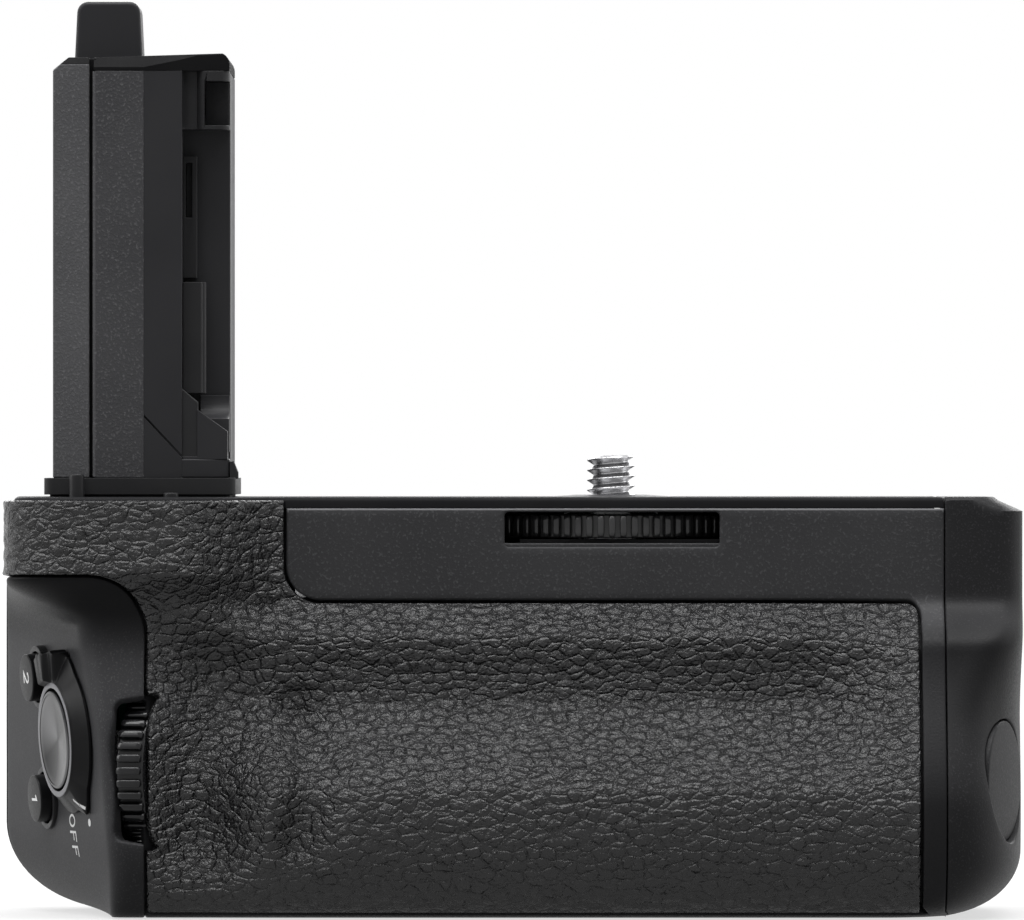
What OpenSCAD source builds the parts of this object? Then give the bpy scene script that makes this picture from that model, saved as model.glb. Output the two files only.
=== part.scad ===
/* [Body] */
// Overall width across both ends
body_w = 130.6; // [129:0.2:134]
// Reach of the front grip in front of the upper panel
grip_out = 13.7; // [13:0.1:14.8]
// Distance from the middle plane to the rear wall
rear_y = 27; // [26.6:0.1:27.6]
// Thickness of the top plate
top_t = 1.4; // [1.2:0.1:1.8]
// Thickness of the bottom plate
bottom_t = 1; // [0.8:0.1:1.3]
// Wall of the moulded front shell and control cap
wall = 1.6; // [1.4:0.1:1.8]
// Wall of the rear shell
rear_wall = 1.3; // [1.1:0.1:1.5]
// Wall of the smooth upper panel
panel_wall = 1.9; // [1.7:0.1:2.2]
// Height of the smooth upper panel
panel_h = 13; // [12:0.5:14]
// Distance of the panel's left edge from the left end
panel_in = 36.8; // [36:0.2:38]
// Radius of the panel's lower left corner
panel_corner = 3.2; // [2:0.2:4]
// Width of the bare strip between grip skin and door
strip_w = 3.9; // [3:0.1:5]

/* [Grip skin] */
// Thickness of the grained rubber skin
skin_t = 1.2; // [0.9:0.1:1.3]
// Open joint round the edge of the skin
skin_gap = 0.35; // [0.2:0.05:0.5]
// Height of the skin band round the upper left end
band_h = 9.7; // [9:0.1:10.5]
// Height of the skin's lower edge above the ground
skin_foot = 0.6; // [0.5:0.1:1]

/* [Tightening wheel and screw] */
// Radius of the knurled wheel
wheel_r = 19.6; // [18.6:0.2:20]
// Thickness of the knurled wheel
wheel_t = 2.6; // [2.4:0.1:2.9]
// Number of wheel teeth
wheel_teeth = 72; // [60:1:84]
// Distance of the screw from the right end
screw_in = 52.7; // [51:0.1:54]
// Crest radius of the quarter inch thread
thread_r = 3.175; // [3.1:0.025:3.2]
// Pitch of the thread
thread_pitch = 1.27; // [1.2:0.01:1.3]
// Length of the screw above the body
screw_h = 5.4; // [5:0.1:6]
// Radius of the raised seat round the screw
seat_r = 7.9; // [7:0.1:8.5]
// Half width of the wheel window
window_half = 13.6; // [12:0.2:15]

/* [Control end] */
// Width of the control cap
cap_w = 19; // [18.4:0.1:19.6]
// Radius of the cap's upper corner
cap_corner = 7.3; // [6:0.1:8]
// Turn of the shutter face towards the front
face_turn = 18; // [16:0.5:20]
// Downward lean of the shutter face
face_lean = 4; // [2:0.5:5]
// Height of the shutter button's centre
shutter_z = 22.4; // [22:0.2:24]
// Distance of the shutter button's centre behind the upper panel
shutter_back = 2.8; // [2.2:0.1:3]
// Radius of the shutter button
shutter_r = 6.25; // [5.8:0.05:6.4]
// Press of the shutter button
shutter_travel = 0.9; // [0.6:0.1:0.9]
// Base radius of the power lever
lever_r = 9.4; // [9:0.1:9.6]
// Radius of the two custom buttons
button_r = 3.1; // [2.8:0.05:3.2]
// Distance of the custom buttons behind the shutter
button_back = 11.2; // [11:0.1:12]
// Distance of the custom buttons above and below the shutter
button_up = 7.7; // [7.5:0.1:8.2]
// Press of the custom, focus and hold buttons
button_travel = 0.6; // [0.4:0.05:0.6]

/* [Dials and rear controls] */
// Radius of the front dial
front_dial_r = 9.5; // [9:0.1:9.8]
// Radius of the rear dial
rear_dial_r = 9.3; // [8.8:0.1:9.6]
// Width of both dials
dial_w = 4.4; // [4:0.1:4.6]
// Number of dial teeth
dial_teeth = 38; // [32:1:44]
// Radius of the dial axles
axle_r = 1; // [0.8:0.05:1.2]
// Turn of the front dial's axle
dial_turn = 17; // [14:0.5:18]
// Height of the front dial's centre
front_dial_z = 18.6; // [18:0.2:20]
// Height of the rear dial's centre
rear_dial_z = 35.5; // [34:0.5:36]
// Radius of the focus button
focus_r = 3.2; // [3:0.1:3.4]
// Radius of the hold button
hold_r = 2.8; // [2.5:0.1:3]
// Radius of the joystick's cap
stick_r = 3.9; // [3.5:0.1:4.1]
// Reach of the joystick's cap behind the rear wall
stick_out = 3.8; // [3.4:0.1:4.2]
// Tilt of the joystick each way
stick_tilt = 10; // [6:1:10]

/* [Battery chamber and door] */
// Thickness of one battery pack
pack_t = 22.7; // [22:0.1:23]
// Width of one battery pack
pack_w = 38.7; // [38:0.1:39]
// Length of one battery pack
pack_l = 51.7; // [51:0.1:52]
// Floor and ceiling of the chamber
bay_floor = 0.5; // [0.4:0.05:0.7]
// Side walls of the chamber
bay_side = 0.8; // [0.7:0.05:0.9]
// End wall of the chamber
bay_end = 1; // [0.8:0.1:1.4]
// Depth of the door along the body
door_t = 10.7; // [10.2:0.1:11.5]
// Wall of the door
door_wall = 1.6; // [1.4:0.1:1.8]
// Thickness of the door's inner plate
door_plate_t = 1.2; // [1:0.1:1.4]
// Radius of the door's hinge pin
hinge_pin_r = 0.6; // [0.5:0.05:0.65]
// Radius of the hinge knuckles
knuckle_r = 1.1; // [1.05:0.05:1.2]
// Radius of the lock dial
lock_r = 7.6; // [7:0.1:7.8]
// Height of the lock dial's centre
lock_z = 17.2; // [17:0.1:17.6]
// Travel of the battery latches
latch_travel = 1.4; // [1.2:0.1:1.5]

/* [Stalk] */
// Distance of the stalk from the left end
stalk_in = 7.2; // [7:0.1:8]
// Height of the stalk above its flange
stalk_h = 53.85; // [53:0.05:55]
// Depth of the stalk
stalk_d = 38.3; // [37.5:0.1:38.7]
// Distance of the stalk's front in front of the middle plane
stalk_front = 16.6; // [16:0.1:17]
// Width of the stalk's side cover
side_w = 4.75; // [4.5:0.05:5]
// Open groove beside the side cover
side_groove = 0.4; // [0.3:0.05:0.5]
// Wall of the stalk's shells
stalk_wall = 1.2; // [1:0.1:1.4]
// Thickness of the stalk's flange
flange_t = 2.1; // [1.9:0.1:2.4]
// Height of the contact nose
nose_h = 6.95; // [6.5:0.05:8]
// Width of the contact nose
nose_w = 8.6; // [8.2:0.1:9]
// Depth of the contact nose
nose_d = 12; // [10:0.5:14]

/* [Clearances] */
// Seating gap between fixed pieces
seat = 0.05; // [0.03:0.01:0.08]
// Running gap of a shaft in its hole
run = 0.05; // [0.02:0.01:0.09]
// Open gap round a moving piece
gap = 0.3; // [0.25:0.05:0.4]
// Parting gap between casings
joint_gap = 0.12; // [0.08:0.02:0.2]
// Room round a battery pack
pack_gap = 0.4; // [0.3:0.05:0.6]

/* [Hidden] */
$fn = 48;
far = 80;

// Colours
satin_black = [0.16, 0.16, 0.165];
soft_black = [0.12, 0.12, 0.125];
grain_black = [0.1, 0.1, 0.105];
stalk_grey = [0.22, 0.22, 0.225];
steel = [0.72, 0.72, 0.74];
gold = [0.83, 0.66, 0.3];
board_green = [0.06, 0.3, 0.2];
amber = [0.55, 0.33, 0.12];

// Stack of the body from the ground up
bay_z0 = bottom_t + seat + bay_floor;
bay_z1 = bay_z0 + 2 * pack_t + pack_gap / 2;
bay_mid = (bay_z0 + bay_z1) / 2;
washer_t = 0.3;
washer_z = bay_z1 + bay_floor;
wheel_z = washer_z + washer_t + seat;
collar_t = 0.9;
collar_z = wheel_z + wheel_t;
top_z = collar_z + collar_t + 2 * seat;
body_h = top_z + top_t;

// Stack of the body from rear to front
bay_y1 = rear_y - rear_wall - 2 * seat - bay_side;
bay_y0 = bay_y1 - pack_w - pack_gap;
chamber_front = bay_y0 - bay_side;
panel_y = panel_wall + 2 * seat - chamber_front;

// Places along the body
half_w = body_w / 2;
door_x = half_w - door_t;
bay_x1 = door_x - 0.2;
bay_x0 = bay_x1 - pack_l - 2 * pack_gap;
cap_edge = cap_w - half_w;
panel_left = panel_in - half_w;
panel_bottom = body_h - panel_h;
band_bottom = body_h - band_h;
skin_right = door_x - strip_w;
skin_top = top_z - 0.15;
split_y = 14;

// Sculpted body: each height has one closed outline, read from these values
left_round_x = cap_w - 0.9;
left_round_z = 11;
right_round_x = 8.8;
right_round_z = 8;
lock_proud = 0.2;
door_chamfer_x = 4.4;
door_chamfer_z = 1.7;
edge_round = 3;
rear_r = 6;
under_h = 16;
under_in = 8;
shelf_out = 3;
shelf_h = 4.5;
waist_out = 1.2;
waist_h = 8;
bulge_top = panel_bottom - 9;
bulge_h = 14;
bulge_out = grip_out - shelf_out - waist_out;
control_waist = panel_y + 7.3;
control_top = panel_bottom - 4;
control_h = 14;
control_out = 3;
block_out = 2.6;
block_h = 4.5;
control_under = 5;
blend_x0 = panel_left - 14.5;
blend_w = 15;
dip_x = panel_left - 10;
dip_half = 7;
dip_in = 3.2;
ridge_r = 4.6;
ridge_lean = 0.09;
block_r = 8;
scoop_h = 7;
door_r = 4.6;
door_nose_x = 12;
door_nose_y = 26;
door_blend = 16;
stations = 14;
low_levels = 7;
level_step = 2;

function clamp01(t) = min(1, max(0, t));
function ease(t) = let (c = clamp01(t)) c * c * (3 - 2 * c);
function mix(a, b, t) = a + (b - a) * t;
function unit(v) = v / norm(v);
function corner_share(z, r) = z < r ? 1 - sqrt(max(0, 1 - pow((r - z) / r, 2))) : 0;
function curve3(a, b, c, n) = [for (i = [0:n]) let (t = i / n)
    a * (1 - t) * (1 - t) + b * 2 * t * (1 - t) + c * t * t];
function arc(centre, r, from, to, n) = [for (i = [0:n]) let (a = mix(from, to, i / n))
    centre + r * [cos(a), sin(a)]];
function rounded(low, high, r, n = 5) = concat(
    arc([high[0] - r, high[1] - r], r, 0, 90, n), arc([low[0] + r, high[1] - r], r, 90, 180, n),
    arc([low[0] + r, low[1] + r], r, 180, 270, n), arc([high[0] - r, low[1] + r], r, 270, 360, n));

function left_x(z) = left_round_x * corner_share(z, left_round_z) - half_w;
function right_x(z) = half_w - lock_proud - right_round_x * corner_share(z, right_round_z)
    - door_chamfer_x * clamp01((z - body_h + door_chamfer_z) / door_chamfer_z);
function rear_at(z) = rear_y - edge_round * corner_share(z, edge_round);
// Depth of the grip's front: panel, shelf, waist, bulge and the curve under it
function grip_at(z) = under_in * corner_share(z, under_h) - panel_y
    - shelf_out * ease((panel_bottom - z) / shelf_h)
    - waist_out * ease((panel_bottom - shelf_h + 1.5 - z) / waist_h)
    - bulge_out * ease((bulge_top - z) / bulge_h);
// Depth of the control end's front: block above, waist, ridge and the curve under it
function control_at(z) = control_under * corner_share(z, left_round_z) - control_waist
    - block_out * ease((z - band_bottom + 4) / block_h)
    - control_out * ease((control_top - z) / control_h);
// Front depth between the control end and the grip, with the finger groove
function front_at(x, z) = let (t = clamp01(abs(x - dip_x) / dip_half))
    mix(control_at(z), grip_at(z), ease((x - blend_x0) / blend_w))
    + dip_in * pow(1 - t * t, 2) * ease((panel_bottom - z) / 10) * ease((z - 2) / 9);
function outline(z) = let (
    xl = left_x(z), xr = right_x(z), yr = rear_at(z), yc = control_at(z), yg = grip_at(z),
    open = 1 - corner_share(z, left_round_z),
    w = ease((z - band_bottom + scoop_h) / scoop_h),
    ridge = xl + open * ((split_y - yc) * tan(face_turn) - (z - shutter_z) * ridge_lean),
    c = [mix(ridge, xl, w), yc], r = mix(ridge_r, block_r, w), side = [xl, split_y],
    d = ease((panel_bottom - z) / door_blend),
    rx = mix(door_r, door_nose_x, d), ry = mix(door_r, door_nose_y, d), x0 = c[0] + r)
    concat(
        curve3([xl + rear_r, yr], [xl, yr], [xl, yr - rear_r], 4), [side],
        curve3(c + unit(side - c) * r, c, [x0, front_at(x0, z)], 5),
        [for (i = [1:stations]) let (x = mix(x0, panel_left + 0.5, i / stations)) [x, front_at(x, z)]],
        curve3([xr - rx, yg], [xr, yg], [xr, yg + ry], 6),
        curve3([xr, yr - rear_r], [xr, yr], [xr - rear_r, yr], 4));
function inset(pts, d) = let (n = len(pts)) [for (i = [0:n - 1]) let (
    e = unit(pts[i] - pts[(i + n - 1) % n]), f = unit(pts[(i + 1) % n] - pts[i]),
    p = [-e[1], e[0]], q = [-f[1], f[0]]) pts[i] + d * (p + q) / (1 + p * q)];
levels = concat([for (i = [0:low_levels]) left_round_z * (1 - cos(90 * i / low_levels))],
    [for (z = [left_round_z + level_step:level_step:band_bottom + 2]) z],
    [body_h - door_chamfer_z, body_h]);

// Solid of the sculpted body drawn in by d; past lengthens it through both ends, and drop thickens
// the wall where the lower corners turn under
module loft(d = 0, past = 0, drop = 0) {
    last = len(levels) - 1;
    rings = [for (z = levels) inset(outline(z - drop * clamp01(1 - z / 12)), d)];
    n = len(rings[0]);
    heights = [for (j = [0:last]) levels[j] + (j == 0 ? -past : j == last ? past : 0)];
    polyhedron([for (j = [0:last]) for (p = rings[j]) [p[0], p[1], heights[j]]], concat(
        [[for (i = [0:n - 1]) i]], [[for (i = [n - 1:-1:0]) last * n + i]],
        [for (j = [0:last - 1]) for (i = [0:n - 1])
            [j * n + i, (j + 1) * n + i, (j + 1) * n + (i + 1) % n]],
        [for (j = [0:last - 1]) for (i = [0:n - 1])
            [j * n + i, (j + 1) * n + (i + 1) % n, j * n + (i + 1) % n]]));
}

// Shared forms
module box(low, high) { translate(low) cube(high - low); }
// Joins free-form casings as one mesh at their own size
module moulded() { resize([0, 0, 0]) children(); }
// Stands a front-view outline up and runs it from y0 back to y1
module elevation(y0, y1) { translate([0, y1, 0]) rotate([90, 0, 0]) linear_extrude(y1 - y0) children(); }
// Stands a side-view outline of y and z up and runs it from x0 to x1
module profile(x0, x1) { translate([x0, 0, 0]) rotate([90, 0, 90]) linear_extrude(x1 - x0) children(); }
// Round bar from the rear wall inwards: y0 to y1 on an axis through x and z
module rear_bar(x, z, y0, y1, r) { translate([x, y0, z]) rotate([-90, 0, 0]) cylinder(r = r, h = y1 - y0); }
// Toothed rim with flat tips
module toothed(r, teeth, depth) {
    pitch = 360 / teeth;
    polygon([for (i = [0:teeth - 1]) for (s = [[-0.3, r], [0.3, r], [0.42, r - depth], [0.58, r - depth]])
        s[1] * [cos((i + s[0]) * pitch), sin((i + s[0]) * pitch)]]);
}

// Outlines seen from the front
module cap_outline(grow = 0) {
    right = cap_edge + grow;
    top = band_bottom + grow;
    polygon(concat([[-far, -far], [right, -far]],
        arc([right - cap_corner, top - cap_corner], cap_corner, 0, 90, 8), [[-far, top]]));
}
module panel_outline(grow = 0) {
    low = panel_bottom - grow;
    polygon(concat([[far, far], [panel_left - grow, far]],
        arc([panel_left - grow + panel_corner, low + panel_corner], panel_corner, 180, 270, 6),
        [[far, low]]));
}
module skin_outline(grow = 0) {
    skin_corner = 1.5;
    right = skin_right + grow;
    top = panel_bottom - skin_gap;
    difference() {
        translate([-far, skin_foot - grow]) square([far + right, skin_top - skin_foot + 2 * grow]);
        cap_outline(skin_gap - grow);
        panel_outline(skin_gap - grow);
        polygon(concat([[right + 1, top + grow + 1], [right - skin_corner, top + grow + 1]],
            arc([right - skin_corner, top + grow - skin_corner], skin_corner, 90, 0, 4),
            [[right + 1, top + grow - skin_corner]]));
    }
}
module bottom_outline(d) {
    intersection() {
        polygon(inset(outline(0), d));
        translate([-far, -far]) square([far + door_x - 0.3 + 2 - d, 2 * far]);
    }
}
module bottom_place() {
    translate([0, 0, -1]) linear_extrude(1 + bottom_t + seat) bottom_outline(2 - joint_gap);
}
// Room inside a casing of this wall, above the bottom plate
module hollow(d) {
    intersection() {
        loft(d, 1, 1);
        box([-far, -far, bottom_t], [far, far, far]);
    }
}
module chamber_room() {
    box([panel_left + 2.5, chamber_front - 2 * seat, bottom_t],
        [door_x + 1, rear_y - rear_wall, body_h]);
}

// Shutter face: local z points out of the face, local x to the front, local y up
shutter_y = panel_y - shutter_back;
shutter_x = -half_w + (split_y + shutter_y) * tan(face_turn);
module on_face() {
    translate([shutter_x, -shutter_y, shutter_z]) rotate([90, 0, face_turn - 90])
        rotate([face_lean, 0, 0]) children();
}
module at_buttons() { for (s = [-1, 1]) translate([-button_back, s * button_up, 0]) children(); }
lever_foot = 0.15;
lever_h = 1.85;
lever_tab = 1.9;
collar_r = 7.7;
board_face = -5.5;
board_t = 1;

// Front dial: local x along its axle, local -y to the front
front_dial_x = cap_edge + 1.1;
front_dial_y = control_at(front_dial_z) - 1.1 + front_dial_r * cos(dial_turn);
dial_open = 0.45;
cheek_t = 0.9;
cheek_in = dial_w / 2 + 0.35;
cheek_half = 5;
module on_front_dial() {
    translate([front_dial_x, front_dial_y, front_dial_z]) rotate([0, 0, -dial_turn]) children();
}
// Slot in the casing, and room for the wheel behind the slot's ends
module front_dial_slot() {
    on_front_dial() {
        box([-dial_w / 2 - dial_open, -far / 2, -front_dial_r + 0.8],
            [dial_w / 2 + dial_open, 0, front_dial_r - 0.8]);
        rotate([0, 90, 0]) cylinder(r = front_dial_r + gap, h = dial_w + 2 * dial_open, center = true);
    }
}
rear_dial_x = cap_edge - 5.7;
rear_dial_y = rear_y + 1.7 - rear_dial_r;
module on_rear_dial() { translate([rear_dial_x, rear_dial_y, rear_dial_z]) children(); }
module rear_dial_slot() {
    on_rear_dial() box([-dial_w / 2 - dial_open, 0, -front_dial_r + 1.6],
        [dial_w / 2 + dial_open, far / 2, front_dial_r - 1.6]);
}

// Rear controls
rear_in = rear_y - rear_wall;
rear_board_y = rear_in - 4.2;
joystick_x = panel_left - 9.5;
joystick_z = 26;
focus_x = panel_left - 10.5;
hold_x = panel_left - 2.6;
rear_button_z = 39;
rear_board_w = 18.3;
rear_board_z0 = 9;
rear_board_z1 = body_h - 7;
rear_pillars = [[panel_left - 16.5, rear_board_z0 + 3], [panel_left - 2, rear_board_z0 + 3],
    [panel_left - 16.5, rear_board_z1 - 2.5], [panel_left - 6.5, rear_board_z1 - 2.5]];
pillar_r = 1.2;
flange_lip = 0.7;

// Camera screw and wheel
screw_x = half_w - screw_in;
screw_y = wheel_r + 0.2 - panel_y;
neck_r = 3.45;
hub_r = 3;
seat_rise = 0.25;
module at_screw() { translate([screw_x, screw_y, 0]) children(); }
module wheel_window() {
    elevation(-far, screw_y) polygon(rounded([screw_x - window_half, wheel_z - 1.3],
        [screw_x + window_half, collar_z + 0.5], 0.5, 3));
}

// Battery door, its hinge and its lock
hinge_x = door_x + joint_gap + knuckle_r + 0.55;
hinge_y = rear_y - knuckle_r - 0.1;
knuckle_h = 5;
knuckles = [5, body_h - 8 - knuckle_h];
door_plate_x = door_x + 0.3;
lock_turn = 17.5;
lock_rise = 0.5;
lock_y = -panel_y - 3.4;
lock_x = half_w - lock_rise * cos(lock_turn) - lock_r * sin(lock_turn);
lock_shaft_r = 1.8;
lock_skirt = 2.4;
tongue_h = -10.8;
tongue_hub_r = lock_shaft_r + 0.2;
tongue_l = 7;
tongue_w = 3.2;
tongue_t = 0.8;
strike_gap = 0.4;
module on_lock() {
    translate([lock_x, lock_y, lock_z]) rotate([0, 0, -lock_turn]) rotate([0, 90, 0]) children();
}
module at_hinge() { translate([hinge_x, hinge_y, 0]) children(); }
// Room that the fixed knuckles need inside the swinging door
module knuckle_room() {
    for (z = knuckles) {
        at_hinge() translate([0, 0, z - gap]) cylinder(r = knuckle_r + gap, h = knuckle_h + 2 * gap);
        box([door_x - 1, hinge_y - knuckle_r - gap, z - gap],
            [hinge_x + 2.5, rear_y + 1, z + knuckle_h + gap]);
    }
}
// Corner that would sweep into the body as the door opens
module hinge_relief() {
    difference() {
        box([door_x - 1, hinge_y - knuckle_r, -1], [hinge_x, rear_y + 1, body_h + 1]);
        at_hinge() translate([0, 0, -2]) cylinder(r = knuckle_r, h = body_h + 4);
    }
}
latch_w = 2.8;
latch_out = 1.3;
latch_places = [bay_mid - 3.2, bay_mid + 3.2];
latch_x = bay_x1 - 2.6;
latch_len = 2.2;

// Stalk
stalk_x = stalk_in - half_w;
stalk_w = pack_t - 0.4;
seal_t = 0.3;
flange_z = body_h + seal_t;
stalk_z = flange_z + flange_t;
core_x = side_w + side_groove;
cap_z = stalk_h - 2.4;
turned_x = 11.5;
turned_in = 1;
recess_x = 16.3;
recess_d = 8;
recess_z = 2.3;
recess_top = 44.1;
stalk_split = 20;
board_x = 9;
port_low = [stalk_x + board_x - 1.5, 1];
port_high = [stalk_x + board_x + 4.5, 13];
module on_stalk() { translate([stalk_x, -stalk_front, stalk_z]) children(); }
module port(z0, z1) {
    translate([0, 0, z0]) linear_extrude(z1 - z0) polygon(rounded(port_low, port_high, 1));
}

// Casings
module front_shell() {
    color(satin_black) moulded() difference() {
        intersection() {
            loft();
            box([-far, -far, 0], [door_x, split_y - joint_gap, top_z - seat]);
        }
        hollow(skin_t + wall);
        chamber_room();
        elevation(-far, far) cap_outline(joint_gap);
        intersection() {
            elevation(-far, far) skin_outline(skin_gap);
            difference() {
                box([-far, -far, 0], [far, far, body_h]);
                loft(skin_t + seat, 1);
            }
        }
        bottom_place();
        wheel_window();
        front_dial_slot();
    }
}
module rear_shell() {
    color(satin_black) moulded() difference() {
        union() {
            difference() {
                intersection() {
                    loft();
                    box([-far, split_y, 0], [door_x, far, top_z - seat]);
                }
                hollow(rear_wall);
                chamber_room();
            }
            for (p = rear_pillars) rear_bar(p[0], p[1], rear_board_y + seat, rear_in + 0.5, pillar_r);
        }
        bottom_place();
        rear_dial_slot();
        rear_bar(joystick_x, joystick_z, rear_in - 1, far, stick_r + 1.1);
        rear_bar(focus_x, rear_button_z, rear_in - 1, far, focus_r + gap);
        rear_bar(hold_x, rear_button_z, rear_in - 1, far, hold_r + gap);
    }
}
module control_cap() {
    color(soft_black) moulded() difference() {
        intersection() {
            loft();
            elevation(-far, split_y - joint_gap) cap_outline();
        }
        hollow(wall);
        on_face() {
            translate([0, 0, -6]) cylinder(r = collar_r + gap, h = 12);
            translate([0, 0, -lever_foot]) cylinder(r = lever_r + lever_tab + gap, h = 6);
            at_buttons() translate([0, 0, -6]) cylinder(r = button_r + gap, h = 12);
        }
        front_dial_slot();
    }
}
top_screw_places = [[-half_w + 7, 12], [panel_left + 8, 19], [panel_left + 8, -11], [half_w - 25, 19],
    [half_w - 18, -10]];
screw_row = chamber_front - 2.5;
bottom_screw_places = [[cap_edge + 8, -13], [cap_edge + 8, 15], [panel_left + 6, -15],
    [panel_left + 6, 16], [screw_x - 8, screw_row], [screw_x + 16, screw_row], [door_x - 8, screw_row]];
pin_places = [[stalk_x + 3.1, -stalk_front - 2.6], [stalk_x + 15, -stalk_front - 2.8]];
pin_r = 0.95;
pin_heights = [2.9, 0.55];
top_screw_r = 1;
top_head_r = 1.8;
head_edge = 0.25;
head_depth = head_edge + top_head_r - top_screw_r;
module countersunk(length) {
    rotate_extrude() polygon([[0, 0], [top_head_r, 0], [top_head_r, -head_edge],
        [top_screw_r, -head_depth], [top_screw_r, -length], [0, -length]]);
}
module top_plate() {
    color(satin_black) difference() {
        translate([0, 0, top_z]) linear_extrude(top_t) intersection() {
            polygon(inset(outline(body_h - 1), 0.35));
            translate([-far, -far]) square([far + door_x - joint_gap, 2 * far]);
        }
        at_screw() translate([0, 0, top_z - 1]) cylinder(r = seat_r + seat, h = top_t + 2);
        port(top_z - 1, body_h + 1);
        for (p = pin_places) translate([p[0], p[1], top_z - 1]) cylinder(r = pin_r + seat, h = top_t + 2);
        for (p = top_screw_places) translate([p[0], p[1], body_h]) {
            translate([0, 0, -head_edge]) cylinder(r = top_head_r + seat, h = 1);
            translate([0, 0, -top_t - 1]) cylinder(r = top_screw_r + seat, h = top_t + 2);
            translate([0, 0, -head_depth]) cylinder(r1 = top_screw_r + seat,
                r2 = top_head_r + seat, h = head_depth - head_edge);
        }
    }
}
module bottom_plate() {
    color(satin_black) difference() {
        linear_extrude(bottom_t) bottom_outline(2);
        translate([tripod_x, screw_y, -1]) cylinder(r = tripod_r + seat, h = bottom_t + 2);
        for (p = bottom_screw_places) translate([p[0], p[1], -1])
            cylinder(r = top_head_r + seat, h = bottom_t + 2);
    }
}
module front_grip_skin() {
    color(grain_black) moulded() difference() {
        intersection() {
            loft();
            elevation(-far, split_y - joint_gap) skin_outline();
        }
        loft(skin_t, 1);
        front_dial_slot();
    }
}
module rear_grip_skin() {
    pad_h = 11;
    pad_r = 4;
    pad_low = [-half_w + 9, edge_round + 0.2];
    pad_high = [door_x - 6, edge_round + 0.2 + pad_h];
    color(grain_black) elevation(rear_y + seat, rear_y + skin_t) polygon(rounded(pad_low, pad_high, pad_r));
}

// Battery chamber and what is wired to it
block_y = bay_y0 + 4;
block_w = 12;
block_half = 4;
block_t = 2.6;
blade_count = 3;
bays = [bay_z0 + pack_t / 2, bay_z1 - pack_t / 2];
module battery_chamber() {
    color(soft_black) difference() {
        union() {
            box([bay_x0 - bay_end, chamber_front, bay_z0 - bay_floor],
                [bay_x1, bay_y1 + bay_side, bay_z1 + bay_floor]);
            for (z = knuckles) {
                box([bay_x1 - 1, bay_y1, z], [hinge_x, bay_y1 + bay_side, z + knuckle_h]);
                at_hinge() translate([0, 0, z]) cylinder(r = knuckle_r, h = knuckle_h);
            }
        }
        box([bay_x0, bay_y0, bay_z0], [bay_x1 + 1, bay_y1, bay_z1]);
        for (z = bays) box([bay_x0 - bay_end - 1, block_y - seat, z - block_half - seat],
            [bay_x0 + 1, block_y + block_w + seat, z + block_half + seat]);
        for (z = latch_places) box([latch_x - gap, chamber_front - 1, z - latch_w / 2 - gap],
            [bay_x1 + 1, bay_y0 + 0.5, z + latch_w / 2 + gap]);
        at_hinge() translate([0, 0, -1]) cylinder(r = hinge_pin_r + seat / 2, h = body_h);
    }
}
module contact_blocks() {
    color(soft_black) for (z = bays) box([bay_x0 - bay_end - block_t, block_y, z - block_half],
        [bay_x0 + 0.4, block_y + block_w, z + block_half]);
}
module battery_contacts() {
    color(gold) for (z = bays) for (i = [0:blade_count - 1]) {
        y = block_y + block_w * (i + 0.5) / blade_count;
        box([bay_x0 + 0.4, y - 0.4, z - 2.5], [bay_x0 + 1.8, y + 0.4, z + 2.5]);
    }
}
board_edge = bay_x0 - bay_end - block_t;
main_board_t = 1.2;
main_board_z0 = 4;
main_board_z1 = bay_z1 - 3;
module main_board() {
    color(board_green) box([board_edge - main_board_t, bay_y0 + 1, main_board_z0],
        [board_edge, bay_y1 - 1, main_board_z1]);
}
frame_x = panel_left + 1;
frame_t = 1.5;
frame_rib = 5;
frame_low = 8;
frame_high = top_z - 9.6;
module centre_frame() {
    front = bay_y0 + 1;
    rear = rear_in - 2.3;
    middle = (front + rear) / 2;
    color(steel) difference() {
        box([frame_x, front, bottom_t + seat], [frame_x + frame_t, rear, top_z - seat]);
        box([frame_x - 1, front + frame_rib, frame_low],
            [frame_x + frame_t + 1, middle - frame_rib / 2, frame_high]);
        box([frame_x - 1, middle + frame_rib / 2, frame_low],
            [frame_x + frame_t + 1, rear - frame_rib, frame_high]);
        box([frame_x - 1, port_low[1], top_z - 5], [frame_x + frame_t + 1, port_high[1], top_z + 1]);
        translate([tripod_x, screw_y, 0]) cylinder(r = tripod_r + tripod_lip + gap, h = tripod_h + 2 * gap);
    }
}
tripod_r = 5.5;
tripod_h = 8.5;
tripod_bore = 2.6;
tripod_depth = 6.5;
tripod_lip = 3;
tripod_lip_t = 1.6;
tripod_x = board_edge - main_board_t - 2.6 - tripod_lip - tripod_r;
module tripod_bush() {
    color(steel) translate([tripod_x, screw_y, 0]) difference() {
        union() {
            translate([0, 0, 0.1]) cylinder(r = tripod_r, h = tripod_h);
            translate([0, 0, bottom_t + seat]) cylinder(r = tripod_r + tripod_lip, h = tripod_lip_t);
        }
        translate([0, 0, -1]) cylinder(r = tripod_bore, h = tripod_depth + 1);
    }
}
module bottom_screws() {
    color(steel) for (p = bottom_screw_places) translate([p[0], p[1], 0.1]) {
        cylinder(r = top_head_r, h = bottom_t - 0.1);
        cylinder(r = top_screw_r, h = 4);
    }
}
module top_screws() {
    color(steel) for (p = top_screw_places) translate([p[0], p[1], body_h - 0.05]) countersunk(top_t + 1.2);
}
module locating_pins() {
    color(soft_black) for (i = [0:1]) translate([pin_places[i][0], pin_places[i][1], top_z])
        cylinder(r = pin_r, h = top_t + pin_heights[i]);
}

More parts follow.
